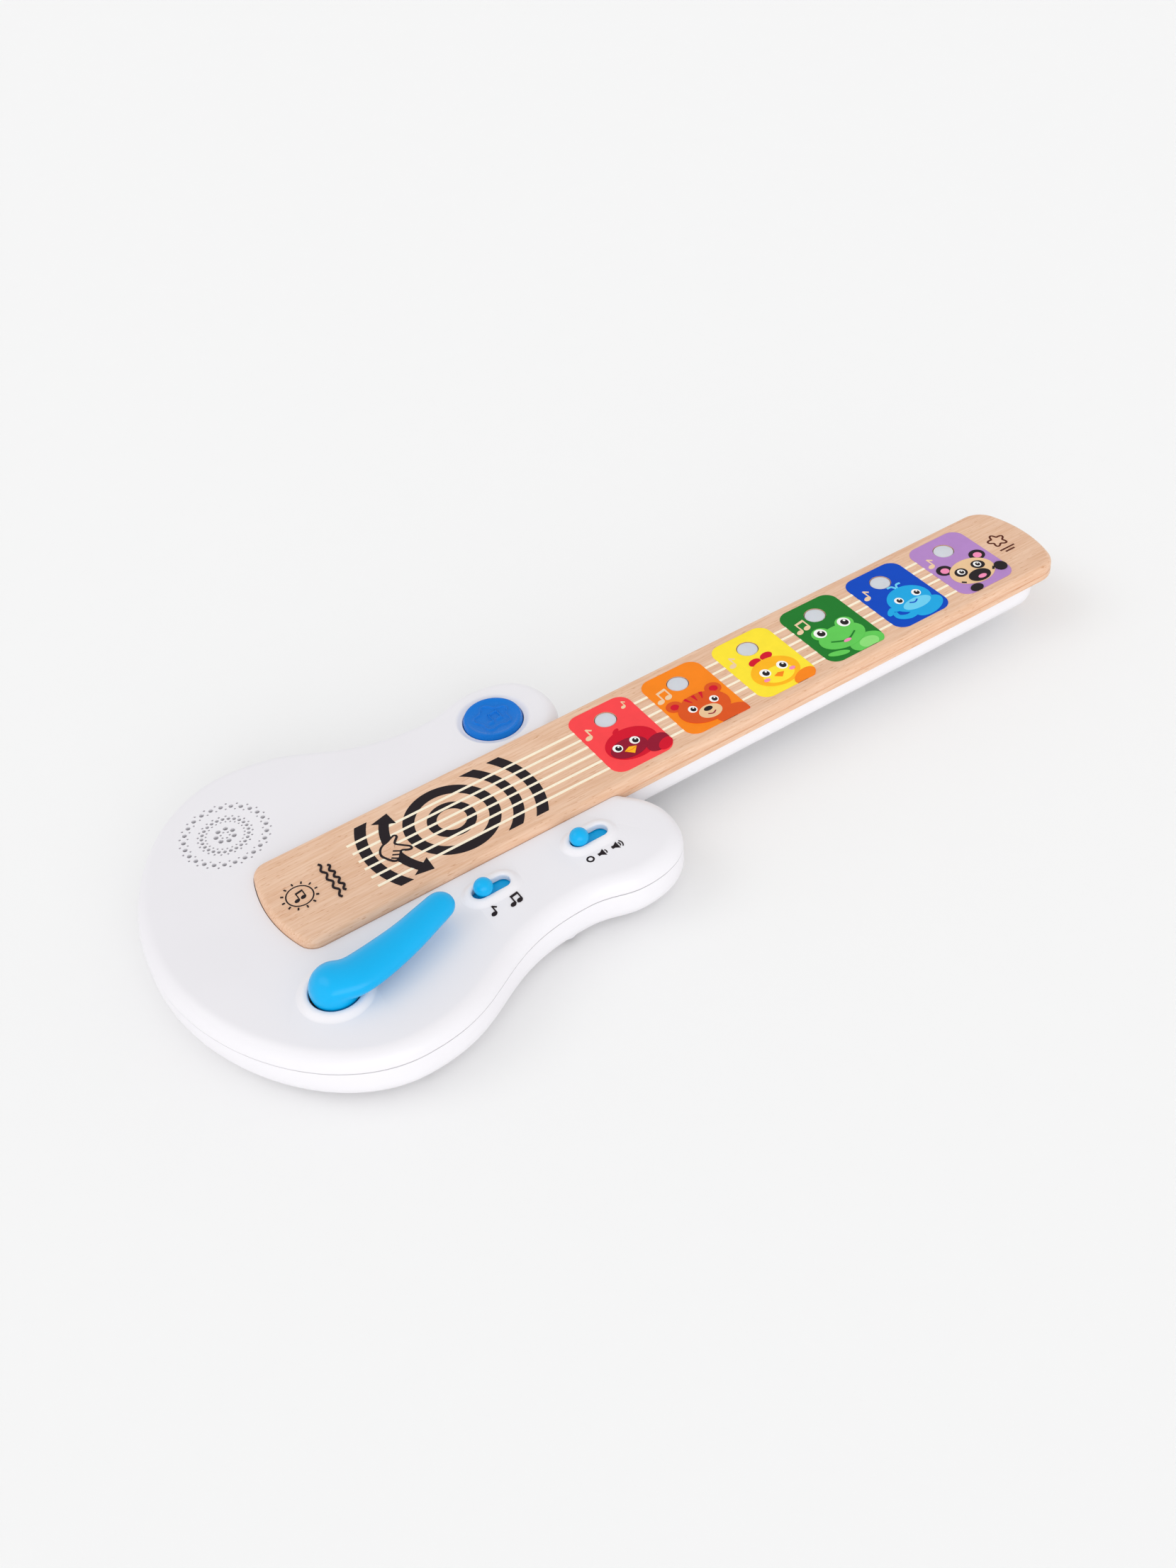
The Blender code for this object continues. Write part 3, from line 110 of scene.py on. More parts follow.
def bezier(start, out, back, end, count):
    """Cubic curve: its four knots weighted by (1-t)^3, 3t(1-t)^2, 3t^2(1-t) and t^3."""
    t = np.linspace(0, 1, count)[:, None]
    start, end = np.array(start, float), np.array(end, float)
    return (start * (1 - t) ** 3 + (start + out) * 3 * t * (1 - t) ** 2
            + (end + back) * 3 * t ** 2 * (1 - t) + end * t ** 3)


def even(path, count, closed=False):
    """Reads a path again at equal steps of its own length."""
    path = np.asarray(path, float)
    if closed:
        path = np.vstack([path, path[:1]])
    reach = np.concatenate([[0], np.cumsum(np.linalg.norm(np.diff(path, axis=0), axis=1))])
    at = np.linspace(0, reach[-1], count + 1 if closed else count)
    if closed:
        at = at[:-1]
    return np.stack([np.interp(at, reach, path[:, k]) for k in range(path.shape[1])], axis=1)


def outward(path, closed=True):
    """Unit vectors square to a plan path that runs anticlockwise, pointing out of it."""
    if closed:
        ahead = np.roll(path, -1, axis=0) - np.roll(path, 1, axis=0)
    else:
        ahead = np.gradient(path, axis=0)
    ahead = ahead / np.linalg.norm(ahead, axis=1)[:, None]
    return np.stack([ahead[:, 1], -ahead[:, 0]], axis=1)


def arc(centre, radius, start, end, count):
    """Points at a radius from a centre, from one angle in degrees to another."""
    turn = np.radians(np.linspace(start, end, count))
    return np.stack([centre[0] + radius * np.cos(turn), centre[1] + radius * np.sin(turn)], axis=1)


def circle(centre, radius, count=64):
    """A full turn of an arc, without its last point again."""
    return arc(centre, radius, 0, 360 * (count - 1) / count, count)


def oval(x, y, half_x, half_y, turn=0.0, count=40):
    """An ellipse turned by some degrees."""
    angle = np.linspace(0, TAU, count, endpoint=False)
    a, b = half_x * np.cos(angle), half_y * np.sin(angle)
    c, s = math.cos(math.radians(turn)), math.sin(math.radians(turn))
    return np.stack([x + a * c - b * s, y + a * s + b * c], axis=1)


def rounded(centre, half_x, half_y, radius, count=96):
    """A rectangle with quarter circles for corners, anticlockwise from its right side."""
    x, y = half_x - radius, half_y - radius
    corners = [arc((centre[0] + sx * x, centre[1] + sy * y), radius, a, a + 90, 12)
               for sx, sy, a in ((1, 1, 0), (-1, 1, 90), (-1, -1, 180), (1, -1, 270))]
    return even(np.vstack(corners), count, closed=True)


def sweep(path, profile, closed=True):
    """A profile of (outward offset, height) carried along a plan path: a row for each path point."""
    profile = np.asarray(profile, float)
    square = outward(path, closed)
    flat = path[:, None, :] + square[:, None, :] * profile[None, :, :1]
    height = np.broadcast_to(profile[None, :, 1:], flat.shape[:2] + (1,))
    return np.concatenate([flat, height], axis=2)


def turned(centre, profile, steps=64):
    """A profile of (radius, height) turned about a vertical axis."""
    profile = np.asarray(profile, float)
    angle = np.linspace(0, TAU, steps, endpoint=False)[:, None]
    x = centre[0] + profile[None, :, 0] * np.cos(angle)
    y = centre[1] + profile[None, :, 0] * np.sin(angle)
    return np.stack([x, y, np.broadcast_to(profile[None, :, 1], x.shape)], axis=2)


def rounding(inset, height, radius_in, radius_up, start, end, count=9):
    """Part of an ellipse in a profile, from one angle in degrees to another."""
    turn = np.radians(np.linspace(start, end, count))
    return np.stack([inset + radius_in * np.cos(turn), height + radius_up * np.sin(turn)], axis=1)


def to_spine(rows, spine, shares=(0.3, 0.6, 0.85, 1.0)):
    """Runs each row's last point on, at its own height, in shares of the way to its place on the spine."""
    last = rows[:, -1, :]
    target = np.concatenate([spine, last[:, 2:]], axis=1)
    run = [last + (target - last) * share for share in shares]
    return np.concatenate([rows, np.stack(run, axis=1)], axis=1)


def spine_of(path, low_x, high_x):
    """Each path point's foot on the centre line, kept between two ends."""
    return np.stack([np.clip(path[:, 0], low_x, high_x), np.zeros(len(path))], axis=1)


def strip(inner, outer, low, high, closed=False):
    """A flat strip between two edges with as many points, its ends drawn in to a point when it is open."""
    layers = [(inner, high), (outer, high), (outer, low), (inner, low)]
    rows = np.stack([np.column_stack([flat, np.full(len(flat), z)]) for flat, z in layers], axis=1)
    if closed:
        return rows
    ends = [np.repeat(rows[k].mean(axis=0)[None, None], 4, axis=1) for k in (0, -1)]
    return np.concatenate([ends[0], rows, ends[1]], axis=0)


def slab(outline, low, high, hole=None):
    """A thin flat piece: from its middle, or a round hole's rim, out to its outline, down, and back in."""
    outline = np.asarray(outline, float)
    if hole is None:
        inner = np.broadcast_to(outline.mean(axis=0), outline.shape)
    else:
        centre, radius = np.array(hole[:2]), hole[2]
        ray = outline - centre
        inner = centre + ray / np.linalg.norm(ray, axis=1)[:, None] * radius
    return strip(inner, outline, low, high, closed=True)


def band(path, width, low, high, closed=False):
    """A flat stripe: a strip that runs half its width to each side of a path."""
    path = np.asarray(path, float)
    half = np.broadcast_to(np.asarray(width, float) / 2, len(path))[:, None] * outward(path, closed)
    return strip(path - half, path + half, low, high, closed)


def quads(rows, columns, wrap_rows, wrap_columns):
    """Corner numbers of the faces between neighbouring points of a grid."""
    index = np.arange(rows * columns).reshape(rows, columns)
    if wrap_rows:
        index = np.vstack([index, index[:1]])
    if wrap_columns:
        index = np.hstack([index, index[:, :1]])
    return np.stack([index[:-1, :-1], index[1:, :-1], index[1:, 1:], index[:-1, 1:]], axis=-1).reshape(-1, 4)


def make(name, surfaces, materials, smooth=30, closed=True):
    """One mesh object from (points, wrap rows, wrap columns, material number) surfaces in millimetres.

    Points that meet are merged, closed shapes get their faces pointing out, and edges sharper than the
    given angle stay crisp.
    """
    points, faces, numbers, start = [], [], [], 0
    for grid, wrap_rows, wrap_columns, number in surfaces:
        rows, columns = grid.shape[:2]
        made = quads(rows, columns, wrap_rows, wrap_columns) + start
        points.append(grid.reshape(-1, 3) * MM)
        faces.append(made)
        numbers.append(np.full(len(made), number, np.int32))
        start += rows * columns
    mesh = bpy.data.meshes.new(name)
    mesh.from_pydata(np.vstack(points).tolist(), [], np.vstack(faces).tolist())
    for material in materials:
        mesh.materials.append(material)
    mesh.polygons.foreach_set("material_index", np.concatenate(numbers))
    bm = bmesh.new()
    bm.from_mesh(mesh)
    bmesh.ops.remove_doubles(bm, verts=bm.verts, dist=0.002 * MM)
    bmesh.ops.dissolve_degenerate(bm, edges=bm.edges, dist=0.001 * MM)
    if closed:
        bmesh.ops.recalc_face_normals(bm, faces=bm.faces)
    bm.to_mesh(mesh)
    bm.free()
    obj = bpy.data.objects.new(name, mesh)
    bpy.context.scene.collection.objects.link(obj)
    crisp(obj, smooth)
    return obj


def crisp(obj, degrees):
    """Smooth shading, but for edges sharper than the given angle."""
    obj.data.shade_smooth()
    obj.data.set_sharp_from_angle(angle=math.radians(degrees))


def settle(obj, cutters=(), smooth=30):
    """Applies a piece's modifiers to its mesh and removes what it was cut or joined with."""
    bpy.context.view_layer.update()
    shape = bpy.data.meshes.new_from_object(obj.evaluated_get(bpy.context.evaluated_depsgraph_get()))
    obj.modifiers.clear()
    obj.data = shape
    for cutter in cutters:
        bpy.data.objects.remove(cutter, do_unlink=True)
    crisp(obj, smooth)
    return obj


def whole(grid):
    """A surface for make whose rows wrap round, in its piece's first finish."""
    return grid, True, False, 0


def worked(obj, material, *steps, smooth=30):
    """Joins sets of surfaces to a piece, or cuts them out of it, in the order given."""
    tools = []
    for number, (operation, surfaces) in enumerate(steps):
        tool = make(f"{obj.name}_tool_{number}", surfaces, [material])
        tool.hide_render = True
        modifier = obj.modifiers.new(tool.name, "BOOLEAN")
        modifier.operation = operation
        modifier.solver = "EXACT"
        modifier.object = tool
        tools.append(tool)
    return settle(obj, tools, smooth)


def thicken(obj, thickness):
    """A wall of the given thickness, grown inwards from a piece's faces."""
    modifier = obj.modifiers.new("wall", "SOLIDIFY")
    modifier.thickness = thickness * MM
    modifier.offset = -1


def place(obj, body, stands_for=()):
    """Ties a piece to its body and hides the nodes that it stands for."""
    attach(obj, body)
    if stands_for:
        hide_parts(*stands_for)
    return obj


# ---------------------------------------------------------------- materials

def linear(colour):
    """An sRGB hex colour as linear red, green, blue and a full alpha."""
    parts = [int(colour[k:k + 2], 16) / 255 for k in (0, 2, 4)]
    return (*[c / 12.92 if c <= 0.04045 else ((c + 0.055) / 1.055) ** 2.4 for c in parts], 1.0)


def add(tree, kind, inputs=None, **settings):
    """Adds a node: settings are its own choices, and inputs are values or the sockets that feed it."""
    node = tree.nodes.new(kind)
    for name, value in settings.items():
        setattr(node, name, value)
    for name, value in (inputs or {}).items():
        socket = node.inputs[name]
        if isinstance(value, bpy.types.NodeSocket):
            tree.links.new(value, socket)
        else:
            socket.default_value = value
    return node


def ramp(tree, fac, low, high, first, second):
    """A blend between two colours as a value rises from low to high."""
    node = add(tree, "ShaderNodeValToRGB", {"Fac": fac})
    node.color_ramp.elements[0].position = low
    node.color_ramp.elements[1].position = high
    node.color_ramp.elements[0].color = first
    node.color_ramp.elements[1].color = second
    return node.outputs["Color"]


def start_material(name):
    """A new material, its tree, its shader, and the piece's own coordinates in metres."""
    material = bpy.data.materials.new(name)
    material.use_nodes = True
    tree = material.node_tree
    shader = tree.nodes["Principled BSDF"]
    where = add(tree, "ShaderNodeTexCoord").outputs["Object"]
    return material, tree, shader, where


SOCKETS = {"metallic": "Metallic", "ior": "IOR", "subsurface": "Subsurface Weight",
           "specular": "Specular IOR Level"}


def finish(name, colour, roughness, shade=0.94, grain_mm=0.6, depth_mm=0.01, patch_mm=18.0, **settings):
    """A moulded, printed or plated finish over the whole of a piece.

    The colour drifts between itself and a slightly darker shade over patches of the given size, the
    roughness wanders with it, and a fine grain of the given spacing and depth lifts the surface.
    """
    material, tree, shader, where = start_material(name)
    base = linear(colour)
    darker = (*[c * shade for c in base[:3]], 1.0)
    patch = add(tree, "ShaderNodeTexNoise", {"Vector": where, "Scale": 1 / (patch_mm * MM), "Detail": 3.0})
    grain = add(tree, "ShaderNodeTexNoise", {"Vector": where, "Scale": 1 / (grain_mm * MM), "Detail": 2.0})
    tint = ramp(tree, patch.outputs["Fac"], 0.35, 0.65, darker, base)
    rough = add(tree, "ShaderNodeMapRange", {"Value": grain.outputs["Fac"], "From Min": 0.3, "From Max": 0.7,
                                             "To Min": roughness * 0.9, "To Max": min(roughness * 1.12, 1.0)})
    bump = add(tree, "ShaderNodeBump", {"Height": grain.outputs["Fac"], "Strength": 1.0,
                                        "Distance": depth_mm * MM})
    tree.links.new(tint, shader.inputs["Base Color"])
    tree.links.new(rough.outputs["Result"], shader.inputs["Roughness"])
    tree.links.new(bump.outputs["Normal"], shader.inputs["Normal"])
    for socket, value in settings.items():
        shader.inputs[SOCKETS[socket]].default_value = value
    return material


def lacquered_beech():
    """Beech ply under a satin lacquer: pale pinkish tan, long soft growth streaks and short dark flecks."""
    material, tree, shader, where = start_material("lacquered_beech")
    streaks = add(tree, "ShaderNodeMapping", {"Vector": where, "Scale": (9.0, 130.0, 260.0)})
    streak = add(tree, "ShaderNodeTexNoise", {"Vector": streaks.outputs["Vector"], "Scale": 1.0,
                                              "Detail": 6.0, "Distortion": 0.8})
    fine = add(tree, "ShaderNodeMapping", {"Vector": where, "Scale": (70.0, 1300.0, 1300.0)})
    fibre = add(tree, "ShaderNodeTexNoise", {"Vector": fine.outputs["Vector"], "Scale": 1.0, "Detail": 3.0})
    short = add(tree, "ShaderNodeMapping", {"Vector": where, "Scale": (260.0, 1700.0, 1700.0)})
    fleck = add(tree, "ShaderNodeTexNoise", {"Vector": short.outputs["Vector"], "Scale": 1.0, "Detail": 1.0})
    wood = ramp(tree, streak.outputs["Fac"], 0.3, 0.72, linear("E3BA9C"), linear("EDCAAF"))
    fibres = ramp(tree, fibre.outputs["Fac"], 0.35, 0.65, linear("F4EAE0"), linear("FFFFFF"))
    flecks = ramp(tree, fleck.outputs["Fac"], 0.66, 0.74, linear("FFFFFF"), linear("D8B493"))
    grained = add(tree, "ShaderNodeMixRGB", {"Fac": 1.0, "Color1": wood, "Color2": fibres},
                  blend_type="MULTIPLY")
    flecked = add(tree, "ShaderNodeMixRGB", {"Fac": 0.55, "Color1": grained.outputs["Color"],
                                             "Color2": flecks}, blend_type="MULTIPLY")
    bump = add(tree, "ShaderNodeBump", {"Height": fibre.outputs["Fac"], "Strength": 0.6,
                                        "Distance": 0.03 * MM})
    tree.links.new(flecked.outputs["Color"], shader.inputs["Base Color"])
    tree.links.new(bump.outputs["Normal"], shader.inputs["Normal"])
    shader.inputs["Roughness"].default_value = 0.5
    shader.inputs["Specular IOR Level"].default_value = 0.3
    shader.inputs["Coat Weight"].default_value = 0.12
    shader.inputs["Coat Roughness"].default_value = 0.25
    return material


# Moulded ABS, fine spark-eroded texture: near white with a faint cool cast, soft wide highlights.
WHITE_ABS = finish("moulded_white_abs", "EBE9ED", 0.36, shade=0.985, grain_mm=0.9, depth_mm=0.012,
                   patch_mm=45)
# Moulded ABS, polished tool: clear sky blue with small bright highlights.
SKY_ABS = finish("moulded_sky_blue_abs", "02AEEA", 0.24, shade=0.97, grain_mm=2.0, depth_mm=0.002,
                 patch_mm=22, specular=0.25)
# Moulded ABS, deeper blue of the push button.
BUTTON_ABS = finish("moulded_deep_blue_abs", "0072D0", 0.26, shade=0.96, grain_mm=2.0, depth_mm=0.002,
                    patch_mm=14, specular=0.2)
BEECH = lacquered_beech()
# Acrylic frosted on its face: pale grey, lit from inside only when it works, so it scatters light softly.
FROSTED = finish("frosted_acrylic", "D9D6DC", 0.45, shade=0.96, grain_mm=0.5, depth_mm=0.02, patch_mm=6,
                 subsurface=0.15, ior=1.49)
# Thermoplastic rubber of the feet: dull warm grey with a velvety face.
RUBBER = finish("moulded_grey_rubber", "B9B7B5", 0.85, shade=0.9, grain_mm=0.4, depth_mm=0.03, patch_mm=5)
# Zinc-plated steel: screws, springs and contacts, slightly cloudy.
STEEL = finish("zinc_plated_steel", "C3C4C8", 0.32, shade=0.85, grain_mm=0.3, depth_mm=0.01, patch_mm=3,
               metallic=1.0)
# Epoxy glass laminate with a green solder mask.
LAMINATE = finish("green_masked_laminate", "1F6B3A", 0.4, shade=0.8, grain_mm=0.8, depth_mm=0.02, patch_mm=7)
# Moulded black resin of switches, chip, cone rim and lead.
BLACK_RESIN = finish("moulded_black_resin", "26262A", 0.5, shade=0.85, grain_mm=0.5, depth_mm=0.02,
                     patch_mm=9)
# Shrunk vinyl sleeve round the cells.
SLEEVE = finish("shrunk_vinyl_sleeve", "3E6F8F", 0.3, shade=0.85, grain_mm=2.0, depth_mm=0.02, patch_mm=12)
# Cast epoxy lens of the small lamps.
LAMP = finish("cast_epoxy_lamp", "F2EFD8", 0.25, shade=0.95, grain_mm=0.8, depth_mm=0.01, patch_mm=3)

FINISH_OF_SLOT = {"white_abs": WHITE_ABS, "beech": BEECH, "frosted_acrylic": FROSTED, "lamp": LAMP,
                  "laminate": LAMINATE, "button_blue": BUTTON_ABS, "light_blue": SKY_ABS,
                  "black_resin": BLACK_RESIN, "steel": STEEL, "cell_sleeve": SLEEVE, "rubber": RUBBER}

# Screen-printed inks: thin, slightly satin, with a faint mottle where the mesh laid them down.
INK_COLOURS = {
    "black": "241D21", "cream": "FBF0D8", "bare": "EFCFA8", "white": "FAF8F5", "brown": "5B2A1C",
    "red": "FB484C", "crimson": "D4102C", "maroon": "93122F", "amber": "FFB81C", "orange": "FA8718",
    "rust": "DE561E", "tan": "EBC598", "yellow": "FEE536", "green": "1D7A2A", "leaf": "62CB57",
    "pale_leaf": "8EE07A", "blue": "0048C0", "cyan": "1BA8E4", "pale_cyan": "6FD0F2", "purple": "B588C8",
    "pink": "F58FB8", "grey": "E3DDE0",
}
INKS = {name: finish(f"screen_printed_{name}_ink", colour, 0.55, shade=0.96, grain_mm=0.35, depth_mm=0.004,
                     patch_mm=5, specular=0.1) for name, colour in INK_COLOURS.items()}
# Where a shape is left unprinted over another, it shows the board's own wood.
INKS["bare_wood"] = BEECH


def dress_nodes():
    """Gives each node of the model the procedural finish of its own slot."""
    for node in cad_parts.values():
        for n, plain in enumerate(node.data.materials):
            node.data.materials[n] = FINISH_OF_SLOT[plain.name.split(".")[0]]


# ---------------------------------------------------------------- casing

def body_plan(count=480):
    """The body's outline: Bezier curves round one horn, waist and bout to the tail, and their mirror."""
    horn, waist, root = 71.9, 67.1, (ROOT_X, 26.5)
    bout_x, waist_x, horn_x = TAIL_X + BOUT_LENGTH, TAIL_X + 155.2, TAIL_X + 180.5
    half = np.vstack([
        np.stack([np.full(20, ROOT_X), np.linspace(0, 25.5, 20)], axis=1),
        bezier(root, (5.0, 5.0), (0, -9.0), (FRONT_X, 47.0), 100),
        bezier((FRONT_X, 47.0), (0, 14.0), (20.8, 0), (horn_x, horn), 160)[1:],
        bezier((horn_x, horn), (-10.0, 0), (12.0, 0), (waist_x, waist), 100)[1:],
        bezier((waist_x, waist), (-45.0, 0), (40.1, 0), (bout_x, BOUT), 200)[1:],
        bezier((bout_x, BOUT), (-0.522 * BOUT_LENGTH, 0), (0, 0.515 * BOUT), (TAIL_X, 0), 300)[1:],
    ])
    whole = np.vstack([half, half[-2:0:-1] * (1, -1)])
    return even(whole, count, closed=True)


def bowed(tip_x, bow, corner, half, direction, count=40):
    """Half of a bowed end, from its tip to the side: an arc of the bow's radius, then the corner's arc."""
    centre = tip_x - direction * bow
    along = math.sqrt((bow - corner) ** 2 - (half - corner) ** 2)
    meet = math.degrees(math.atan2(half - corner, along))
    first = arc((0, 0), bow, 0, meet, count)
    second = arc((along, half - corner), corner, meet, 90, count)[1:]
    run = np.vstack([first, second])
    return np.stack([centre + direction * run[:, 0], run[:, 1]], axis=1)


def board_plan(grow=0.0, count=480):
    """The fingerboard's outline, larger all round by grow, anticlockwise from the head's tip."""
    half = BOARD_HALF + grow
    head = bowed(HEAD_X + grow, HEAD_BOW + grow, HEAD_CORNER + grow, half, 1)
    low = bowed(LOW_X - grow, LOW_BOW + grow, LOW_CORNER + grow, half, -1)
    side = np.vstack([head, low[::-1]])
    return even(np.vstack([side, side[-2:0:-1] * (1, -1)]), count, closed=True)


def stadium(centre, length, width, count=72):
    """A slot's outline: two half circles joined by straight sides."""
    radius, reach = width / 2, (length - width) / 2
    right = arc((centre[0] + reach, centre[1]), radius, -90, 90, 24)
    left = arc((centre[0] - reach, centre[1]), radius, 90, 270, 24)
    return even(np.vstack([right, left]), count, closed=True)


def rim_profile(width, height, depth, lip=0.8, flat=0.5):
    """A raised rim's section: the opening's wall, a rounded lip, a flat, and half a cosine wave down."""
    crest = BODY_TOP + height
    run = np.linspace(0, 1, 14)
    slope = np.stack([lip + flat + run * (width - lip - flat),
                      crest - height * (1 - np.cos(np.pi * run)) / 2 - 0.03 * run], axis=1)
    return np.vstack([[(0, BODY_TOP - depth), (0, crest - lip - 0.8)],
                      rounding(lip, crest - lip, lip, lip, 180, 90), slope, [(width, BODY_TOP - depth)]])


# Each ring of the speaker's holes: how many, ring radius, hole radius, and turn in hole spacings.
GRILLE = ((25, 19.1, 0.5, 0.5), (25, 17.4, 1.05, 0.0), (25, 15.8, 0.45, 0.5), (25, 11.5, 0.5, 0.5),
          (25, 9.9, 0.85, 0.0), (25, 8.2, 0.45, 0.5), (7, 3.9, 1.12, 0.25), (6, 1.9, 0.5, 0.5))


def make_casing_top():
    """The top shell: the body's outline inset along a quarter circle, flat across to the centre line."""
    plan = body_plan()
    edge = 6.8
    profile = np.vstack([[(-0.35, SEAM_Z), (-0.1, SEAM_Z + 0.1), (0, SEAM_Z + 0.35)],
                         rounding(-edge, BODY_TOP - edge, edge, edge, 0, 90, 14)])
    rows = to_spine(sweep(plan, profile), spine_of(plan, *SPINE))
    shell = make("top_shell", [whole(rows)], [WHITE_ABS], closed=False)
    thicken(shell, WALL)

    inner, outer = BODY_TOP - 6, BODY_TOP + 10              # clear of the shell's wall on both sides
    openings = [stadium((x, SLOT_Y), SLOT_LENGTH + 0.8, SLOT_WIDTH + 0.8) for x in SLOT_AT.values()]
    openings += [circle(WHAMMY_AT, SOCKET_RADIUS + 0.6, 72), circle(BUTTON_AT, BUTTON_HOLE + 2.9, 96)]
    for count, ring, radius, turn in GRILLE:
        for n in range(count):
            angle = TAU * (n + turn) / count
            at = SPEAKER_AT + ring * np.array([math.cos(angle), math.sin(angle)])
            openings.append(circle(at, radius, 14))
    cuts = [whole(slab(board_plan(0.3), BOARD_BOTTOM - 0.3, BOARD_TOP + 10))]
    cuts += [whole(slab(outline, inner, outer)) for outline in openings]
    pockets = [whole(slab(rounded((x, SLOT_Y), 20.0, 5.9, 3.0, 64), inner, BODY_TOP - 1.2))
               for x in SLOT_AT.values()]
    worked(shell, WHITE_ABS, ("DIFFERENCE", pockets), ("DIFFERENCE", cuts))

    root = BODY_TOP - WALL - 0.6                            # of a rim, inside the shell's wall
    rims = [(stadium((x, SLOT_Y), SLOT_LENGTH, SLOT_WIDTH, 96), rim_profile(5.0, 1.7, 1.15))
            for x in SLOT_AT.values()]
    rims.append((circle(WHAMMY_AT, SOCKET_RADIUS, 96), rim_profile(5.4, 1.8, WALL + 0.6)))
    run = np.linspace(0, 1, 14)
    dish = np.stack([0.5 + 2.6 * run, BODY_TOP - 0.9 * (1 + np.cos(np.pi * run)) / 2 - 0.01], axis=1)
    button_rim = np.vstack([[(0, root), (0, BODY_TOP - 1.3), (0.15, BODY_TOP - 1.0)], dish, [(3.1, root)]])
    rims.append((circle(BUTTON_AT, BUTTON_HOLE, 120), button_rim))
    worked(shell, WHITE_ABS, ("UNION", [(sweep(plan, profile), True, True, 0) for plan, profile in rims]))
    place(shell, "guitar", ["casing_top"])


def make_casing_bottom():
    """The bottom shell: straight sides, a deep quarter-round to a flat underside, and its openings."""
    plan = body_plan()
    edge, rim = 12.7, SEAM_Z - SEAM
    profile = np.vstack([[(-0.35, rim), (-0.1, rim - 0.1), (0, rim - 0.35)],
                         rounding(-edge, BODY_BOTTOM + edge, edge, edge, 0, -90, 18)])
    rows = to_spine(sweep(plan, profile), spine_of(plan, *SPINE))
    shell = make("bottom_shell", [whole(rows[:, ::-1])], [WHITE_ABS], closed=False)
    thicken(shell, WALL)
    bosses = [middle(f"casing_screw_{n}")[:2] for n in range(1, 6)]
    boss_radius, boss_top, screw_seat, foot_seat = 4.6, 13.9, 7.2, BODY_BOTTOM + 0.8
    posts = [whole(slab(circle(at, boss_radius, 40), BODY_BOTTOM + 1.2, boss_top)) for at in bosses]
    cuts = [whole(slab(circle(at, SCREW_HOLE, 40), -1, screw_seat)) for at in bosses]
    cuts += [whole(slab(circle(middle(f"foot_{n}")[:2], 6.3, 48), -1, foot_seat)) for n in range(1, 5)]
    doorway = rounded(DOOR_AT[:2], DOOR_HALF[0] + 0.3, DOOR_HALF[1] + 0.3, 2.3)
    cuts.append(whole(slab(doorway, -1, DOOR_HIGH[2] + 0.3)))
    worked(shell, WHITE_ABS, ("UNION", posts), ("DIFFERENCE", cuts))
    place(shell, "guitar", ["casing_bottom"])


def make_battery_door():
    """The battery door: a flat cover with rounded corners, five finger ridges and a screw hole."""
    centre, half = DOOR_AT[:2], DOOR_HALF[:2]
    low, high = DOOR_LOW[2], DOOR_HIGH[2]
    edge = [(-0.5, low), (-0.15, low + 0.15), (0, low + 0.5), (0, high)]
    rows = sweep(rounded(centre, half[0], half[1], 2.0, 120), edge)
    spine = np.broadcast_to(centre, (len(rows), 2))
    under = to_spine(rows[:, ::-1], spine)
    over = to_spine(rows[:, -1:], spine)
    door = make("battery_cover", [whole(np.concatenate([over[:, ::-1], under[:, 1:]], axis=1))], [WHITE_ABS])
    ridges = []
    for n in range(5):
        y = centre[1] - half[1] + 5 + 1.8 * n
        ridge = band([(centre[0] - 9, y), (centre[0] + 9, y)], 0.7, low - 0.28, low + 0.4)
        ridges.append((ridge, False, True, 0))
    screw, radius = middle("battery_door_screw")[:2], 1.7
    bore = turned(screw, [(0, -1), (radius, -1), (radius, high + 1), (0, high + 1)], 32)
    worked(door, WHITE_ABS, ("UNION", ridges), ("DIFFERENCE", [whole(bore)]))
    place(door, "guitar", ["battery_door"])


def make_neck_cover():
    """The neck's trough: its outline from one side of the body round the head, with a rounded lower edge."""
    half, edge, count = NECK_HIGH[1], 8.5, 420
    head = bowed(NECK_HIGH[0], HEAD_BOW, HEAD_CORNER + 2.0, half, 1)
    side = np.vstack([head[::-1], head[1:] * (1, -1)])
    plan = even(np.vstack([[(NECK_LOW[0], half)], side, [(NECK_LOW[0], -half)]])[::-1], count)
    low, high = NECK_LOW[2], NECK_HIGH[2]
    profile = np.vstack([[(-0.3, high), (-0.08, high - 0.08), (0, high - 0.3)],
                         rounding(-edge, low + edge, edge, edge, 0, -90, 16)])
    rows = to_spine(sweep(plan, profile, closed=False), spine_of(plan, NECK_LOW[0], NECK_HIGH[0] - 30))
    shell = make("neck_trough", [(rows[:, ::-1], False, False, 0)], [WHITE_ABS], closed=False)
    thicken(shell, NECK_WALL)
    boss_radius = 3.6
    bosses = [middle(f"neck_screw_{n}")[:2] for n in range(1, 4)]
    posts = [whole(slab(circle(at, boss_radius, 40), low + 1.1, high)) for at in bosses]
    cuts = [whole(slab(circle(at, SCREW_HOLE, 40), low - 2, low + 2.6)) for at in bosses]
    worked(shell, WHITE_ABS, ("UNION", posts), ("DIFFERENCE", cuts))
    place(shell, "guitar", ["neck_cover"])


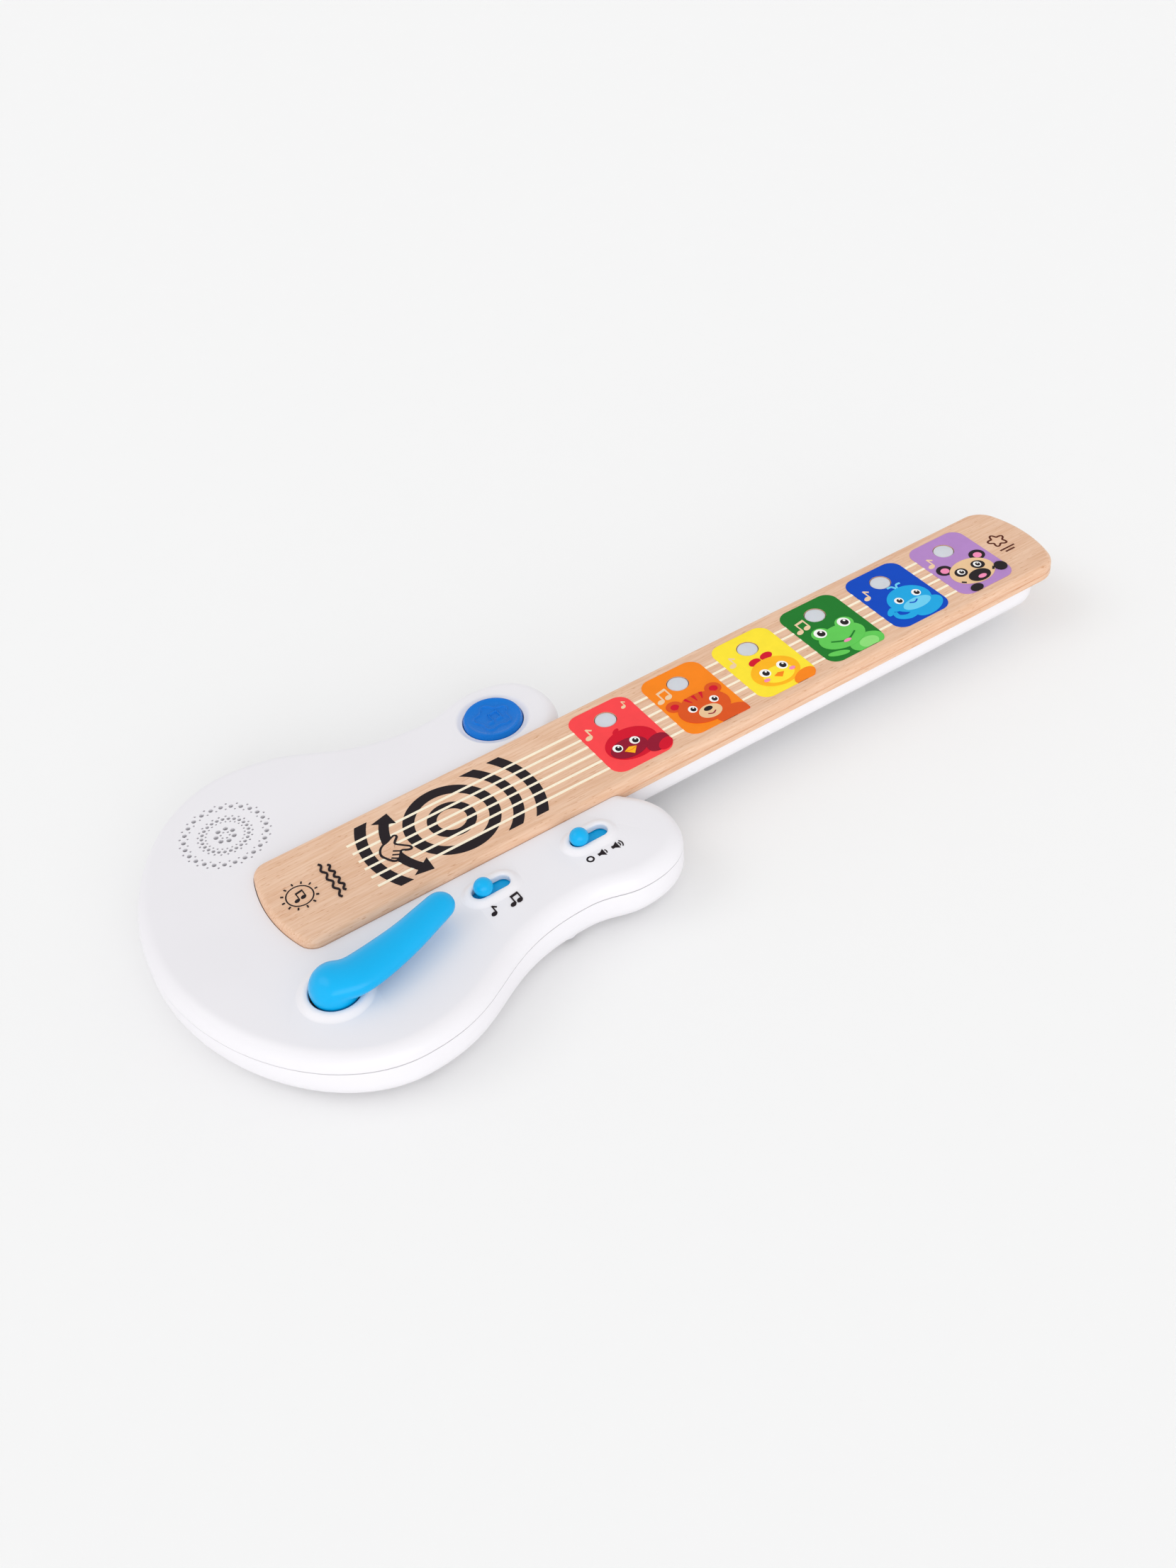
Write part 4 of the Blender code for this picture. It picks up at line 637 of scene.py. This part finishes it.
def make_feet():
    """Rubber feet: turned pads with a rounded lower edge and a shallow dish."""
    for n in range(1, 5):
        low, high = span(f"foot_{n}")
        radius = (high - low)[0] / 2
        profile = np.vstack([[(0, low[2] + 0.25), (radius * 0.6, low[2] + 0.2), (radius * 0.72, low[2])],
                             rounding(radius - 1.0, low[2] + 1.0, 1.0, 1.0, -90, 0), [(radius, high[2]),
                             (0, high[2])]])
        foot = make(f"rubber_foot_{n}", [whole(turned((low + high)[:2] / 2, profile))], [RUBBER])
        place(foot, "guitar", [f"foot_{n}"])


# ---------------------------------------------------------------- fingerboard

def make_fingerboard():
    """The beech board: rounded upper edge, a shallow groove along its side and six round window holes."""
    plan = board_plan()
    edge, groove_z = 2.8, BOARD_TOP - 4.4
    turn = np.radians(np.linspace(90, -90, 9))
    groove = np.stack([-0.45 * np.cos(turn), groove_z + 0.45 * np.sin(turn)], axis=1)
    profile = np.vstack([rounding(-edge, BOARD_TOP - edge, edge, edge, 90, 0, 12), groove,
                         rounding(-0.9, BOARD_BOTTOM + 0.9, 0.9, 0.9, 0, -90, 6)])
    rows = sweep(plan, profile)
    spine = spine_of(plan, LOW_X + 30, HEAD_X - 30)
    over = to_spine(rows[:, :1], spine)[:, ::-1]
    under = to_spine(rows, spine)
    board = make("beech_fingerboard", [whole(np.concatenate([over, under[:, 1:]], axis=1))], [BEECH])
    radius, low, high = WINDOW_RADIUS + 0.3, BOARD_BOTTOM - 2, BOARD_TOP + 2
    hole = [(0, low), (radius, low), (radius, high), (0, high)]
    worked(board, BEECH, ("DIFFERENCE", [whole(turned((x, WINDOW_Y), hole, 64)) for x in PAD_X]))
    place(board, "guitar", ["fingerboard"])


def make_windows():
    """Frosted windows: turned discs with a slightly crowned, softly edged face."""
    for n, x in enumerate(PAD_X, start=1):
        low = span(f"light_window_{n}")[0]
        run = np.linspace(0, 1, 8)
        crown = np.stack([run * (WINDOW_RADIUS - 0.4), BOARD_TOP + 0.1 - 0.14 * run ** 2], axis=1)
        profile = np.vstack([crown, rounding(WINDOW_RADIUS - 0.4, BOARD_TOP - 0.44, 0.4, 0.4, 80, 0, 5),
                             [(WINDOW_RADIUS, low[2]), (0, low[2])]])
        window = make(f"frosted_window_{n}", [whole(turned((x, WINDOW_Y), profile))], [FROSTED])
        place(window, "guitar", [f"light_window_{n}"])


# ---------------------------------------------------------------- prints

LAYER = 0.02                                # height of one print over another
PRINT_ROOT = BOARD_TOP - 0.12               # foot of the board's prints, just inside its face


class Print:
    """Collects flat shapes in printing order, each a little higher than the one before."""

    def __init__(self, root, level, at=(0.0, 0.0)):
        """Prints about a place, from a foot at root, the first just above the level."""
        self.root, self.level, self.at = root, level, np.array(at, float)
        self.surfaces, self.inks = [], []

    def layer(self, name):
        """Steps up to the next print and gives its ink's number."""
        if name not in self.inks:
            self.inks.append(name)
        self.level += LAYER
        return self.inks.index(name)

    def fill(self, ink, outline, hole=None):
        """A filled outline, with or without a round hole."""
        number = self.layer(ink)
        grid = slab(np.asarray(outline) + self.at, self.root, self.level, hole)
        self.surfaces.append((grid, True, hole is not None, number))

    def line(self, ink, path, width, closed=False):
        """A stripe along a path, of one width or one for each point."""
        number = self.layer(ink)
        grid = band(np.asarray(path, float) + self.at, width, self.root, self.level, closed)
        self.surfaces.append((grid, closed, True, number))

    def sector(self, ink, outer, inner):
        """A strip between two edges that have the same number of points."""
        number = self.layer(ink)
        grid = strip(outer + self.at, inner + self.at, self.root, self.level)
        self.surfaces.append((grid, False, True, number))

    def finished(self, name):
        """All the prints so far as one piece on the guitar."""
        place(make(name, self.surfaces, [INKS[ink] for ink in self.inks]), "guitar")


def curve(points, count=40, closed=False):
    """A smooth path through points: Catmull-Rom blending of each four neighbours."""
    points = np.asarray(points, float)
    if closed:
        knots = np.vstack([points[-1:], points, points[:2]])
    else:
        knots = np.vstack([points[:1], points, points[-1:]])
    t = np.linspace(0, 1, 12, endpoint=False)[:, None]
    runs = []
    for a, b, c, d in zip(knots, knots[1:], knots[2:], knots[3:]):
        runs.append(0.5 * (2 * b + (c - a) * t + (2 * a - 5 * b + 4 * c - d) * t ** 2
                           + (3 * b - a - 3 * c + d) * t ** 3))
    path = np.vstack(runs)
    if not closed:
        path = np.vstack([path, points[-1:]])
    return even(path, count, closed)


def note(page, ink, x, y, size, pair=False):
    """A quaver, or two joined ones: slanted oval heads, straight stems and a flag or a beam."""
    head = oval(x, y, 0.26 * size, 0.19 * size, 20, 24)
    stem_x = x + 0.22 * size
    page.fill(ink, head)
    page.line(ink, [(stem_x, y), (stem_x, y + 0.8 * size)], 0.1 * size)
    if pair:
        page.fill(ink, head + (0.62 * size, 0.1 * size))
        page.line(ink, [(stem_x + 0.62 * size, y + 0.1 * size), (stem_x + 0.62 * size, y + 0.9 * size)],
                  0.1 * size)
        page.line(ink, [(stem_x - 0.05 * size, y + 0.76 * size), (stem_x + 0.67 * size, y + 0.88 * size)],
                  0.18 * size)
    else:
        page.line(ink, [(stem_x, y + 0.76 * size), (stem_x + 0.28 * size, y + 0.5 * size)], 0.13 * size)


def eyes(page, x, y, apart, size):
    """Two plain round eyes with a small glint."""
    for eye in (x - apart, x + apart):
        page.fill("white", oval(eye, y, size, size * 1.1, 0, 28))
        page.fill("black", oval(eye + 0.1 * size, y - 0.1 * size, 0.62 * size, 0.72 * size, 0, 24))
        page.fill("white", oval(eye + 0.3 * size, y + 0.25 * size, 0.2 * size, 0.22 * size, 0, 12))


TILE_HALF, TILE_CORNER = (15.45, 21.25), 6.0        # half the length and width of a printed pad
TILE_LIFT = 0.14                            # of the pads' first print, clear of the strings


def inside(outline):
    """Keeps an outline on its tile, where it runs over the edge."""
    return np.clip(outline, (-TILE_HALF[0], -TILE_HALF[1]), TILE_HALF)


def draw_bird(page):
    """A red bird: round body, wing, tail feather and short beak."""
    page.fill("crimson", oval(0.5, -8.0, 12.0, 9.6))
    page.fill("crimson", oval(-1.0, 2.2, 2.0, 1.0, 30))
    page.fill("maroon", inside(oval(9.6, -14.5, 6.2, 4.4, 25)))
    page.fill("crimson", inside(oval(11.8, -17.2, 4.2, 2.6, 30)))
    page.fill("maroon", oval(-2.0, -10.0, 8.6, 5.8))
    eyes(page, -2.0, -7.6, 4.3, 2.2)
    page.fill("amber", [(-5.0, -11.0), (-2.0, -9.6), (1.0, -11.0), (-2.0, -14.4)])
    page.line("orange", [(-4.6, -11.3), (-2.0, -11.9), (0.6, -11.3)], 0.5)


def draw_bear(page):
    """A bear: ears, back, round head with three tufts, and a snout."""
    for side in (-1, 1):
        page.fill("rust", oval(side * 10.2, -0.6, 3.8, 3.6))
        page.fill("crimson", oval(side * 10.2, -1.0, 2.0, 1.9))
    page.fill("rust", inside(oval(8.0, -19.0, 8.0, 5.0)))
    page.fill("rust", oval(0, -8.6, 12.2, 9.6))
    for tilt in (-1, 0, 1):
        page.line("crimson", curve([(tilt * 4.2, 0.6), (tilt * 3.4, -1.6), (tilt * 2.6, -3.4)], 12),
                  np.linspace(1.7, 0.4, 12))
    page.fill("tan", oval(0.6, -12.4, 5.4, 4.2))
    page.fill("black", oval(0.6, -10.6, 2.1, 1.4))
    page.line("maroon", curve([(-1.4, -13.4), (0.6, -14.4), (2.6, -13.4)], 14), 0.6)
    eyes(page, 0.6, -7.0, 5.6, 2.0)


def draw_chick(page):
    """A chick: a wattle of two spots, round head, pale face, beak and cheeks."""
    for x in (-3.2, 3.4):
        page.fill("crimson", oval(x, 2.0 + 0.1 * x, 3.2, 2.2, 12))
    page.fill("amber", oval(0.4, -8.6, 11.4, 9.6))
    page.fill("orange", inside(oval(8.8, -18.8, 6.4, 3.6, 20)))
    page.fill("yellow", oval(0.4, -11.0, 7.6, 5.4))
    eyes(page, 0.4, -7.2, 4.6, 2.5)
    page.fill("orange", [(-2.2, -11.2), (0.4, -10.2), (3.0, -11.2), (0.4, -13.6)])
    page.fill("pink", oval(-6.4, -11.6, 1.5, 1.0))
    page.fill("pink", oval(7.2, -11.6, 1.5, 1.0))


def draw_frog(page):
    """A frog: haunches, raised round eyes and a wide mouth."""
    page.fill("leaf", inside(oval(6.5, -17.5, 8.6, 5.6)))
    page.fill("pale_leaf", inside(oval(7.0, -18.4, 4.8, 3.4)))
    for side in (-1, 1):
        page.fill("leaf", oval(side * 6.6, -1.2, 4.4, 4.2))
    page.fill("leaf", oval(0, -8.0, 11.6, 7.8))
    page.fill("leaf", oval(-8.6, -16.6, 5.0, 1.6, -20))
    eyes(page, 0, -0.8, 6.6, 2.9)
    page.line("green", curve([(-6.6, -8.6), (0, -11.6), (6.6, -8.6)], 24), 0.7)
    page.fill("pink", oval(0, -11.9, 2.0, 0.9))


def draw_whale(page):
    """A whale: round head, a tail that curls up to two flukes, and a spout."""
    page.fill("cyan", oval(2.4, -6.0, 10.6, 9.4))
    page.fill("cyan", inside(oval(6.0, -15.2, 8.6, 5.0, 15)))
    page.line("cyan", curve([(2.0, -13.6), (-5.0, -16.0), (-9.6, -13.6), (-9.4, -9.8)], 30),
              np.linspace(4.4, 2.2, 30))
    page.fill("cyan", oval(-10.6, -8.8, 2.8, 1.5, 40))
    page.fill("cyan", oval(-7.8, -8.4, 2.8, 1.5, -35))
    page.fill("pale_cyan", oval(3.2, -10.6, 7.4, 3.6))
    eyes(page, 2.6, -4.6, 5.0, 2.1)
    page.line("blue", curve([(0.4, -8.6), (2.6, -9.7), (4.8, -8.6)], 14), 0.6)
    page.line("pale_cyan", curve([(2.4, 3.2), (1.4, 5.4), (-0.8, 5.6)], 14), 0.9)
    page.line("pale_cyan", curve([(3.0, 3.2), (4.2, 5.4), (6.4, 5.4)], 14), 0.9)


def draw_panda(page):
    """A panda: dark ears, eye patches and muzzle on a pale head, and two paws."""
    for side in (-1, 1):
        page.fill("black", oval(side * 9.8, -0.4, 3.9, 3.7))
        page.fill("pink", oval(side * 9.8, -0.8, 2.1, 2.0))
    page.fill("tan", oval(0, -8.4, 11.2, 9.0))
    for side in (-1, 1):
        page.fill("black", oval(side * 5.0, -6.4, 3.3, 3.0, side * -30))
        page.line("black", curve([(side * 8.0, -13.6), (side * 9.6, -12.0)], 6), 1.1)
    eyes(page, 0, -6.2, 4.8, 1.8)
    page.fill("black", oval(0.4, -13.0, 5.6, 4.0))
    page.fill("pink", oval(0.8, -14.4, 2.2, 1.3))
    page.fill("black", inside(oval(12.4, -13.6, 3.0, 3.2)))
    page.fill("black", inside(oval(-6.8, -19.2, 3.2, 2.4)))


def draw_tiles():
    """Six rounded pads: a ground colour round each window, notes in bare wood, and an animal."""
    animals = (draw_bird, draw_bear, draw_chick, draw_frog, draw_whale, draw_panda)
    grounds = ("red", "orange", "yellow", "green", "blue", "purple")
    pairs = (False, True, False, True, False, False)
    for n, (x, draw, ground, pair) in enumerate(zip(PAD_X, animals, grounds, pairs), start=1):
        page = Print(PRINT_ROOT, BOARD_TOP + TILE_LIFT, (x, 0.0))
        window = (x, WINDOW_Y, WINDOW_RADIUS + 0.32)
        page.fill(ground, rounded((0, 0), *TILE_HALF, TILE_CORNER, 144), hole=window)
        note(page, "bare", -12.2 if not pair else -12.8, 5.6, 7.0, pair)
        if n == 1:
            note(page, "bare", 10.6, 13.4, 4.6)
        draw(page)
        page.finished(f"printed_pad_{n}")


SOUND_AT = np.array([-90.2, -0.3])          # middle of the printed sound rings
ARROW_RADIUS = 28.2
STRING_Y = (12.4, 6.9, 1.5, -3.7, -9.4, -15.1)
STRING_START, STRING_WIDTH, STRING_LAP = -132.6, 1.3, 0.8       # each pad laps over the strings
# A plain pointing hand: wrist side, thumb, forefinger and curled fingers, in the board's own plan.
HAND = ((-122.6, 1.8), (-120.6, 3.6), (-118.0, 4.4), (-115.6, 5.6), (-113.9, 6.0), (-113.4, 4.8),
        (-115.2, 2.9), (-115.8, 1.4), (-113.6, -1.2), (-111.6, -3.4), (-111.6, -4.8), (-113.0, -4.7),
        (-115.4, -3.4), (-116.6, -4.6), (-117.6, -6.0), (-119.0, -7.2), (-120.8, -6.8), (-122.6, -4.0),
        (-123.6, -1.0))
HAND_CREASES = (((-118.6, -1.6), (-115.8, -3.6)), ((-119.8, -3.4), (-117.0, -5.2)),
                ((-121.0, -4.8), (-118.6, -6.8)))
LOW_MARK_AT, HEAD_MARK_AT = (-160.2, -0.4), (207.4, 2.0)


def clipped_arc(radius, width, reach, side):
    """A ring sector cut off square at y = +-reach: each edge's arc runs as far as its own radius allows."""
    inner, outer = radius - width / 2, radius + width / 2
    run = np.linspace(-1, 1, 48)
    edges = []
    for edge in (outer, inner):
        limit = math.asin(reach / edge)
        edges.append(np.stack([side * edge * np.cos(run * limit), edge * np.sin(run * limit)], axis=1))
    return edges


def draw_sound_rings():
    """Black rings and clipped arcs with six cream strings over them, a two-way arrow and a pointing hand."""
    page = Print(PRINT_ROOT, BOARD_TOP, SOUND_AT)
    for radius, width in ((8.35, 4.1), (18.0, 5.0)):
        page.line("black", circle((0, 0), radius, 120), width, closed=True)
    for radius, width, side in ((27.7, 4.7, 1), (37.5, 5.0, 1), (38.0, 4.9, -1)):
        page.sector("black", *clipped_arc(radius, width, 20.4, side))
    stops = [STRING_START]
    for x in PAD_X:
        stops += [x - TILE_HALF[0] + STRING_LAP, x + TILE_HALF[0] - STRING_LAP]
    level = page.level
    for y in STRING_Y:
        for ends in zip(stops[0::2], stops[1::2]):
            page.level = level                              # strings don't cross, so all share one level
            page.line("cream", [(x, y) - SOUND_AT for x in ends], STRING_WIDTH)
    page.line("black", arc((0, 0), ARROW_RADIUS, 147, 214, 40), 4.3)
    for tip, base in ((135.5, 148), (-134.0, -146)):
        corners = ((ARROW_RADIUS, tip), (33.4, base), (23.1, base))
        page.fill("black", np.vstack([arc((0, 0), radius, turn, turn, 1) for radius, turn in corners]))
    palm = curve(HAND, 120, closed=True) - SOUND_AT
    page.fill("bare_wood", palm)
    page.line("black", palm, 1.0, closed=True)
    for start, end in HAND_CREASES:
        page.line("black", np.array([start, end]) - SOUND_AT, 0.8)
    page.finished("printed_sound_rings")


def draw_marks():
    """Plain marks near the two ends of the board: a ringed note with wave lines, and an outlined star."""
    page = Print(PRINT_ROOT, BOARD_TOP + 0.03, LOW_MARK_AT)
    page.line("black", circle((0.0, 0.0), 5.6, 72), 0.6, closed=True)
    note(page, "black", -2.0, -1.9, 4.8, pair=True)
    for turn in range(0, 360, 30):
        way = np.array([math.cos(math.radians(turn)), math.sin(math.radians(turn))])
        page.line("black", [6.6 * way, 7.8 * way], 0.6)
    run = np.linspace(0, 1, 60)
    for x, half in ((13.6, 11.0), (16.6, 8.5)):
        page.line("black", np.stack([x + 0.7 * np.sin(run * TAU * 4), half - 2 * half * run], axis=1), 0.9)
    page.finished("printed_low_mark")

    page = Print(PRINT_ROOT, BOARD_TOP + 0.03, HEAD_MARK_AT)
    turn = np.linspace(0, TAU, 100, endpoint=False)
    radius = 3.6 + 0.9 * np.cos(5 * turn)
    star = np.stack([radius * np.sin(turn), radius * np.cos(turn)], axis=1)[::-1]
    page.line("brown", star, 0.95, closed=True)
    page.line("brown", [(-4.2, -7.0), (4.2, -7.0)], 0.9)
    page.line("brown", [(-2.6, -9.0), (2.6, -9.0)], 0.9)
    page.finished("printed_head_mark")


def draw_switch_marks():
    """Icons beside the slots: an off ring, a soft and a loud speaker, one note and two."""
    page = Print(BODY_TOP - 0.1, BODY_TOP + 0.03)
    y = -51.8
    page.line("black", circle((-56.0, y), 1.35, 40), 0.8, closed=True)
    for x, waves in ((-49.9, 1), (-43.4, 2)):
        page.fill("black", rounded((x - 1.6, y), 0.8, 0.75, 0.2, 20))
        page.fill("black", [(x - 1.2, y + 0.7), (x - 1.2, y - 0.7), (x + 0.6, y - 2.0), (x + 0.6, y + 2.0)])
        for n in range(waves):
            page.line("black", arc((x, y), 1.5 + 1.1 * n, -42, 42, 14), 0.5)
    note(page, "black", -102.0, -53.6, 5.2)
    note(page, "black", -93.4, -53.9, 5.2, pair=True)
    page.finished("printed_switch_marks")


# ---------------------------------------------------------------- button, knobs and whammy bar

def make_button():
    """The push button: a shallow dish inside a rounded rim, with a raised star ring and note moulded in."""
    low, high = span("button_cap")
    cx, cy = BUTTON_AT
    radius, top, raised = BUTTON_RADIUS, high[2] - 0.4, 0.7
    r = np.concatenate([np.linspace(0, 10.6, 80), np.linspace(10.8, radius - 0.7, 16)])
    angle = np.linspace(0, TAU, 240, endpoint=False)[:, None]
    x, y = r[None, :] * np.cos(angle), r[None, :] * np.sin(angle)
    dish = top - 0.15 - 0.95 * np.clip(1 - (r / 11.4) ** 2, 0, 1) ** 0.8
    roll = np.clip((r - 12.4) / (radius - 12.4), 0, 1)
    rim = 0.15 * np.clip((r - 10.4) / 1.2, 0, 1) - 1.1 * (1 - np.sqrt(1 - roll ** 2))
    height = np.broadcast_to((dish + rim)[None, :], x.shape).copy()
    star = 7.3 + 1.1 * np.cos(5 * (angle - TAU / 4))
    height += raised * np.exp(-((r[None, :] - star) / 0.5) ** 2)
    for hx, hy in ((-1.9, -2.4), (2.3, -1.8)):              # a round head, and a stem that fades at its ends
        height += raised / (1 + (((x - hx) / 1.35) ** 2 + ((y - hy) / 1.05) ** 2) ** 3)
        stem = np.exp(-((x - hx - 1.15) / 0.36) ** 4)
        foot, tip = 1 / (1 + np.exp(-(y - hy) * 6)), 1 / (1 + np.exp((y - hy - 4.9) * 6))
        height += raised * stem * foot * tip
    height += raised * np.exp(-((y - 2.55 - 0.14 * x) / 0.5) ** 4) * (np.abs(x - 1.35) < 2.4)
    face = np.stack([cx + x, cy + y, height], axis=2)
    side_z = np.array([top - 1.9, top - 3.2, low[2] + 1.5])
    flange = np.array([(radius, z) for z in side_z] + [(radius + 1.2, low[2] + 1.5), (radius + 1.2, low[2]),
                                                       (0, low[2])])
    body = np.concatenate([face, turned((cx, cy), flange, 240)], axis=1)
    button = make("button_face", [whole(body)], [BUTTON_ABS], smooth=50)
    place(button, "button", ["button_cap"])


def make_knobs():
    """Slide knobs: a ball on a thick neck over a flat skirt that fills its slot, with a post under it."""
    radius, neck, skirt_z = 4.0, 3.0, BODY_TOP - 1.6
    meet = -math.degrees(math.acos(neck / radius))
    for node, body in (("volume_knob", "volume_slider"), ("mode_knob", "mode_slider")):
        low, high = span(node)
        at = np.array([SLOT_AT[node] + KNOB_REST[node], SLOT_Y])
        profile = np.vstack([rounding(0, high[2] - radius - 0.9, radius, radius, 90, meet, 30),
                             [(neck, skirt_z - 1.0), (0, skirt_z - 1.0)]])
        half_x, half_y = ((high - low) / 2)[:2]
        skirt = slab(rounded(middle(node)[:2], half_x, half_y, 2.0, 80), skirt_z - 1.4, skirt_z)
        post = slab(rounded(at, 1.5, 1.2, 0.3, 24), low[2], skirt_z - 0.7)
        parts = [whole(grid) for grid in (turned(at, profile, 72), skirt, post)]
        knob = make(node.replace("_knob", "_slide"), parts, [SKY_ABS])
        place(knob, body, [node])


# Stations of the whammy bar's arm from its pivot: along, across, up, half width, half height.
ARM = np.array([(-1.0, -0.8, 6.4, 8.8, 6.5), (3.5, -2.6, 7.1, 9.1, 6.2), (8.3, -3.8, 7.7, 9.3, 5.9),
                (18.2, -3.0, 8.5, 8.9, 5.6), (31.0, -0.3, 9.0, 7.8, 5.4), (41.6, 3.2, 9.2, 7.0, 5.2),
                (50.2, 6.2, 9.3, 6.4, 5.0)])


def domed(end, before, reach, turn):
    """Stations past an end: its section shrinks with a cosine as it moves on by reach times the sine."""
    way = (end - before)[:3]
    way /= np.linalg.norm(way)
    turn = np.radians(turn)[:, None]
    return np.hstack([end[:3] + way * reach * np.sin(turn), end[3:] * np.cos(turn)])


def make_whammy():
    """The whammy bar: oval sections carried along a bent path, grown out of a ball with a stem under it."""
    arm = curve(ARM, 60)
    rows = np.vstack([domed(arm[0], arm[1], 4.0, np.linspace(90, 6, 10)), arm,
                      domed(arm[-1], arm[-2], arm[-1, 3], np.linspace(6, 90, 16))])
    centre = rows[:, :3]
    run = np.gradient(centre, axis=0)
    run /= np.linalg.norm(run, axis=1)[:, None]
    side = np.cross(run, (0, 0, 1.0))
    side /= np.linalg.norm(side, axis=1)[:, None]
    up = np.cross(side, run)
    turn = np.linspace(0, TAU, 64, endpoint=False)
    ring = (centre[:, None, :] + side[:, None, :] * (rows[:, 3:4] * np.cos(turn))[:, :, None]
            + up[:, None, :] * (rows[:, 4:5] * np.sin(turn))[:, :, None])
    ring += (WHAMMY_AT[0], WHAMMY_AT[1], BODY_TOP)
    foot = span("whammy_bar")[0][2]
    ball, stem, centre_z = 10.2, 4.0, BODY_TOP + 2.9
    profile = np.vstack([rounding(0, centre_z, ball, ball, 90, -62, 60),
                         [(stem, centre_z - 9.6), (stem, foot), (0, foot)]])
    bar = make("whammy_handle", [whole(turned(WHAMMY_AT, profile, 96))], [SKY_ABS])
    worked(bar, SKY_ABS, ("UNION", [(ring, False, True, 0)]), smooth=60)
    # One even mesh of small cells, then eased so that ball and arm flow into each other.
    blend = bar.modifiers.new("blend", "REMESH")
    blend.mode = "VOXEL"
    blend.voxel_size = 0.42 * MM
    settle(bar, smooth=60)
    ease = bar.modifiers.new("ease", "SMOOTH")
    ease.factor = 0.5
    ease.iterations = 110
    settle(bar, smooth=60)
    place(bar, "whammy", ["whammy_bar"])


# ---------------------------------------------------------------- camera, floor and light

def make_camera():
    """A camera above the tail's lower side, looking down the neck, with the picture turned slightly."""
    azimuth, elevation, roll = (math.radians(a) for a in (28.25, 43.06, 6.95))
    forward = Vector((math.sin(azimuth) * math.cos(elevation), math.cos(azimuth) * math.cos(elevation),
                      -math.sin(elevation)))
    level = forward.cross(Vector((0, 0, 1))).normalized()
    upright = level.cross(forward)
    right = level * math.cos(roll) - upright * math.sin(roll)
    above = right.cross(forward)
    data = bpy.data.cameras.new("camera")
    data.lens = 40.84
    data.clip_start = 0.01
    camera = bpy.data.objects.new("camera", data)
    bpy.context.scene.collection.objects.link(camera)
    turn = Matrix((right, above, -forward)).transposed().to_4x4()
    eye = Vector((-289.6, -492.06, 503.3 + BOARD_TOP))
    camera.matrix_world = Matrix.Translation(eye * MM) @ turn
    bpy.context.scene.camera = camera


def make_stage():
    """A wide pale floor, a sky brighter at its edge than overhead, a high soft lamp and a low fill."""
    size = 20000.0
    corners = np.array([[(-size, -size, 0), (-size, size, 0)], [(size, -size, 0), (size, size, 0)]], float)
    # Matt coated paper: an even, nearly white sheet with no shine.
    paper = finish("matt_white_paper", "F6F6F6", 0.9, shade=0.998, depth_mm=0.001, specular=0.0)
    floor = make("floor", [(corners, False, False, 0)], [paper], closed=False)
    world = bpy.data.worlds.new("sky")
    bpy.context.scene.world = world
    world.use_nodes = True
    tree = world.node_tree
    direction = add(tree, "ShaderNodeTexCoord").outputs["Generated"]
    split = add(tree, "ShaderNodeSeparateXYZ", {"Vector": direction})
    rise = add(tree, "ShaderNodeMapRange", {"Value": split.outputs["Z"], "From Min": 0.0, "From Max": 0.9,
                                            "To Min": 1.08, "To Max": 0.755})
    tree.links.new(rise.outputs["Result"], tree.nodes["Background"].inputs["Strength"])
    tree.nodes["Background"].inputs["Color"].default_value = (1.0, 1.0, 1.0, 1.0)
    lamps = (("soft_lamp", 0.3, 35, (-20, -38, 0)), ("low_fill", 1.3, 60, (80, 0, -20)))
    for name, energy, spread, turn in lamps:
        data = bpy.data.lights.new(name, "SUN")
        data.energy = energy
        data.angle = math.radians(spread)
        lamp = bpy.data.objects.new(name, data)
        lamp.rotation_euler = [math.radians(a) for a in turn]
        bpy.context.scene.collection.objects.link(lamp)
    bpy.context.scene.view_settings.view_transform = "Standard"


dress_nodes()
make_camera()
make_stage()
make_casing_top()
make_casing_bottom()
make_battery_door()
make_neck_cover()
make_feet()
make_fingerboard()
make_windows()
draw_sound_rings()
draw_tiles()
draw_marks()
draw_switch_marks()
make_button()
make_knobs()
make_whammy()
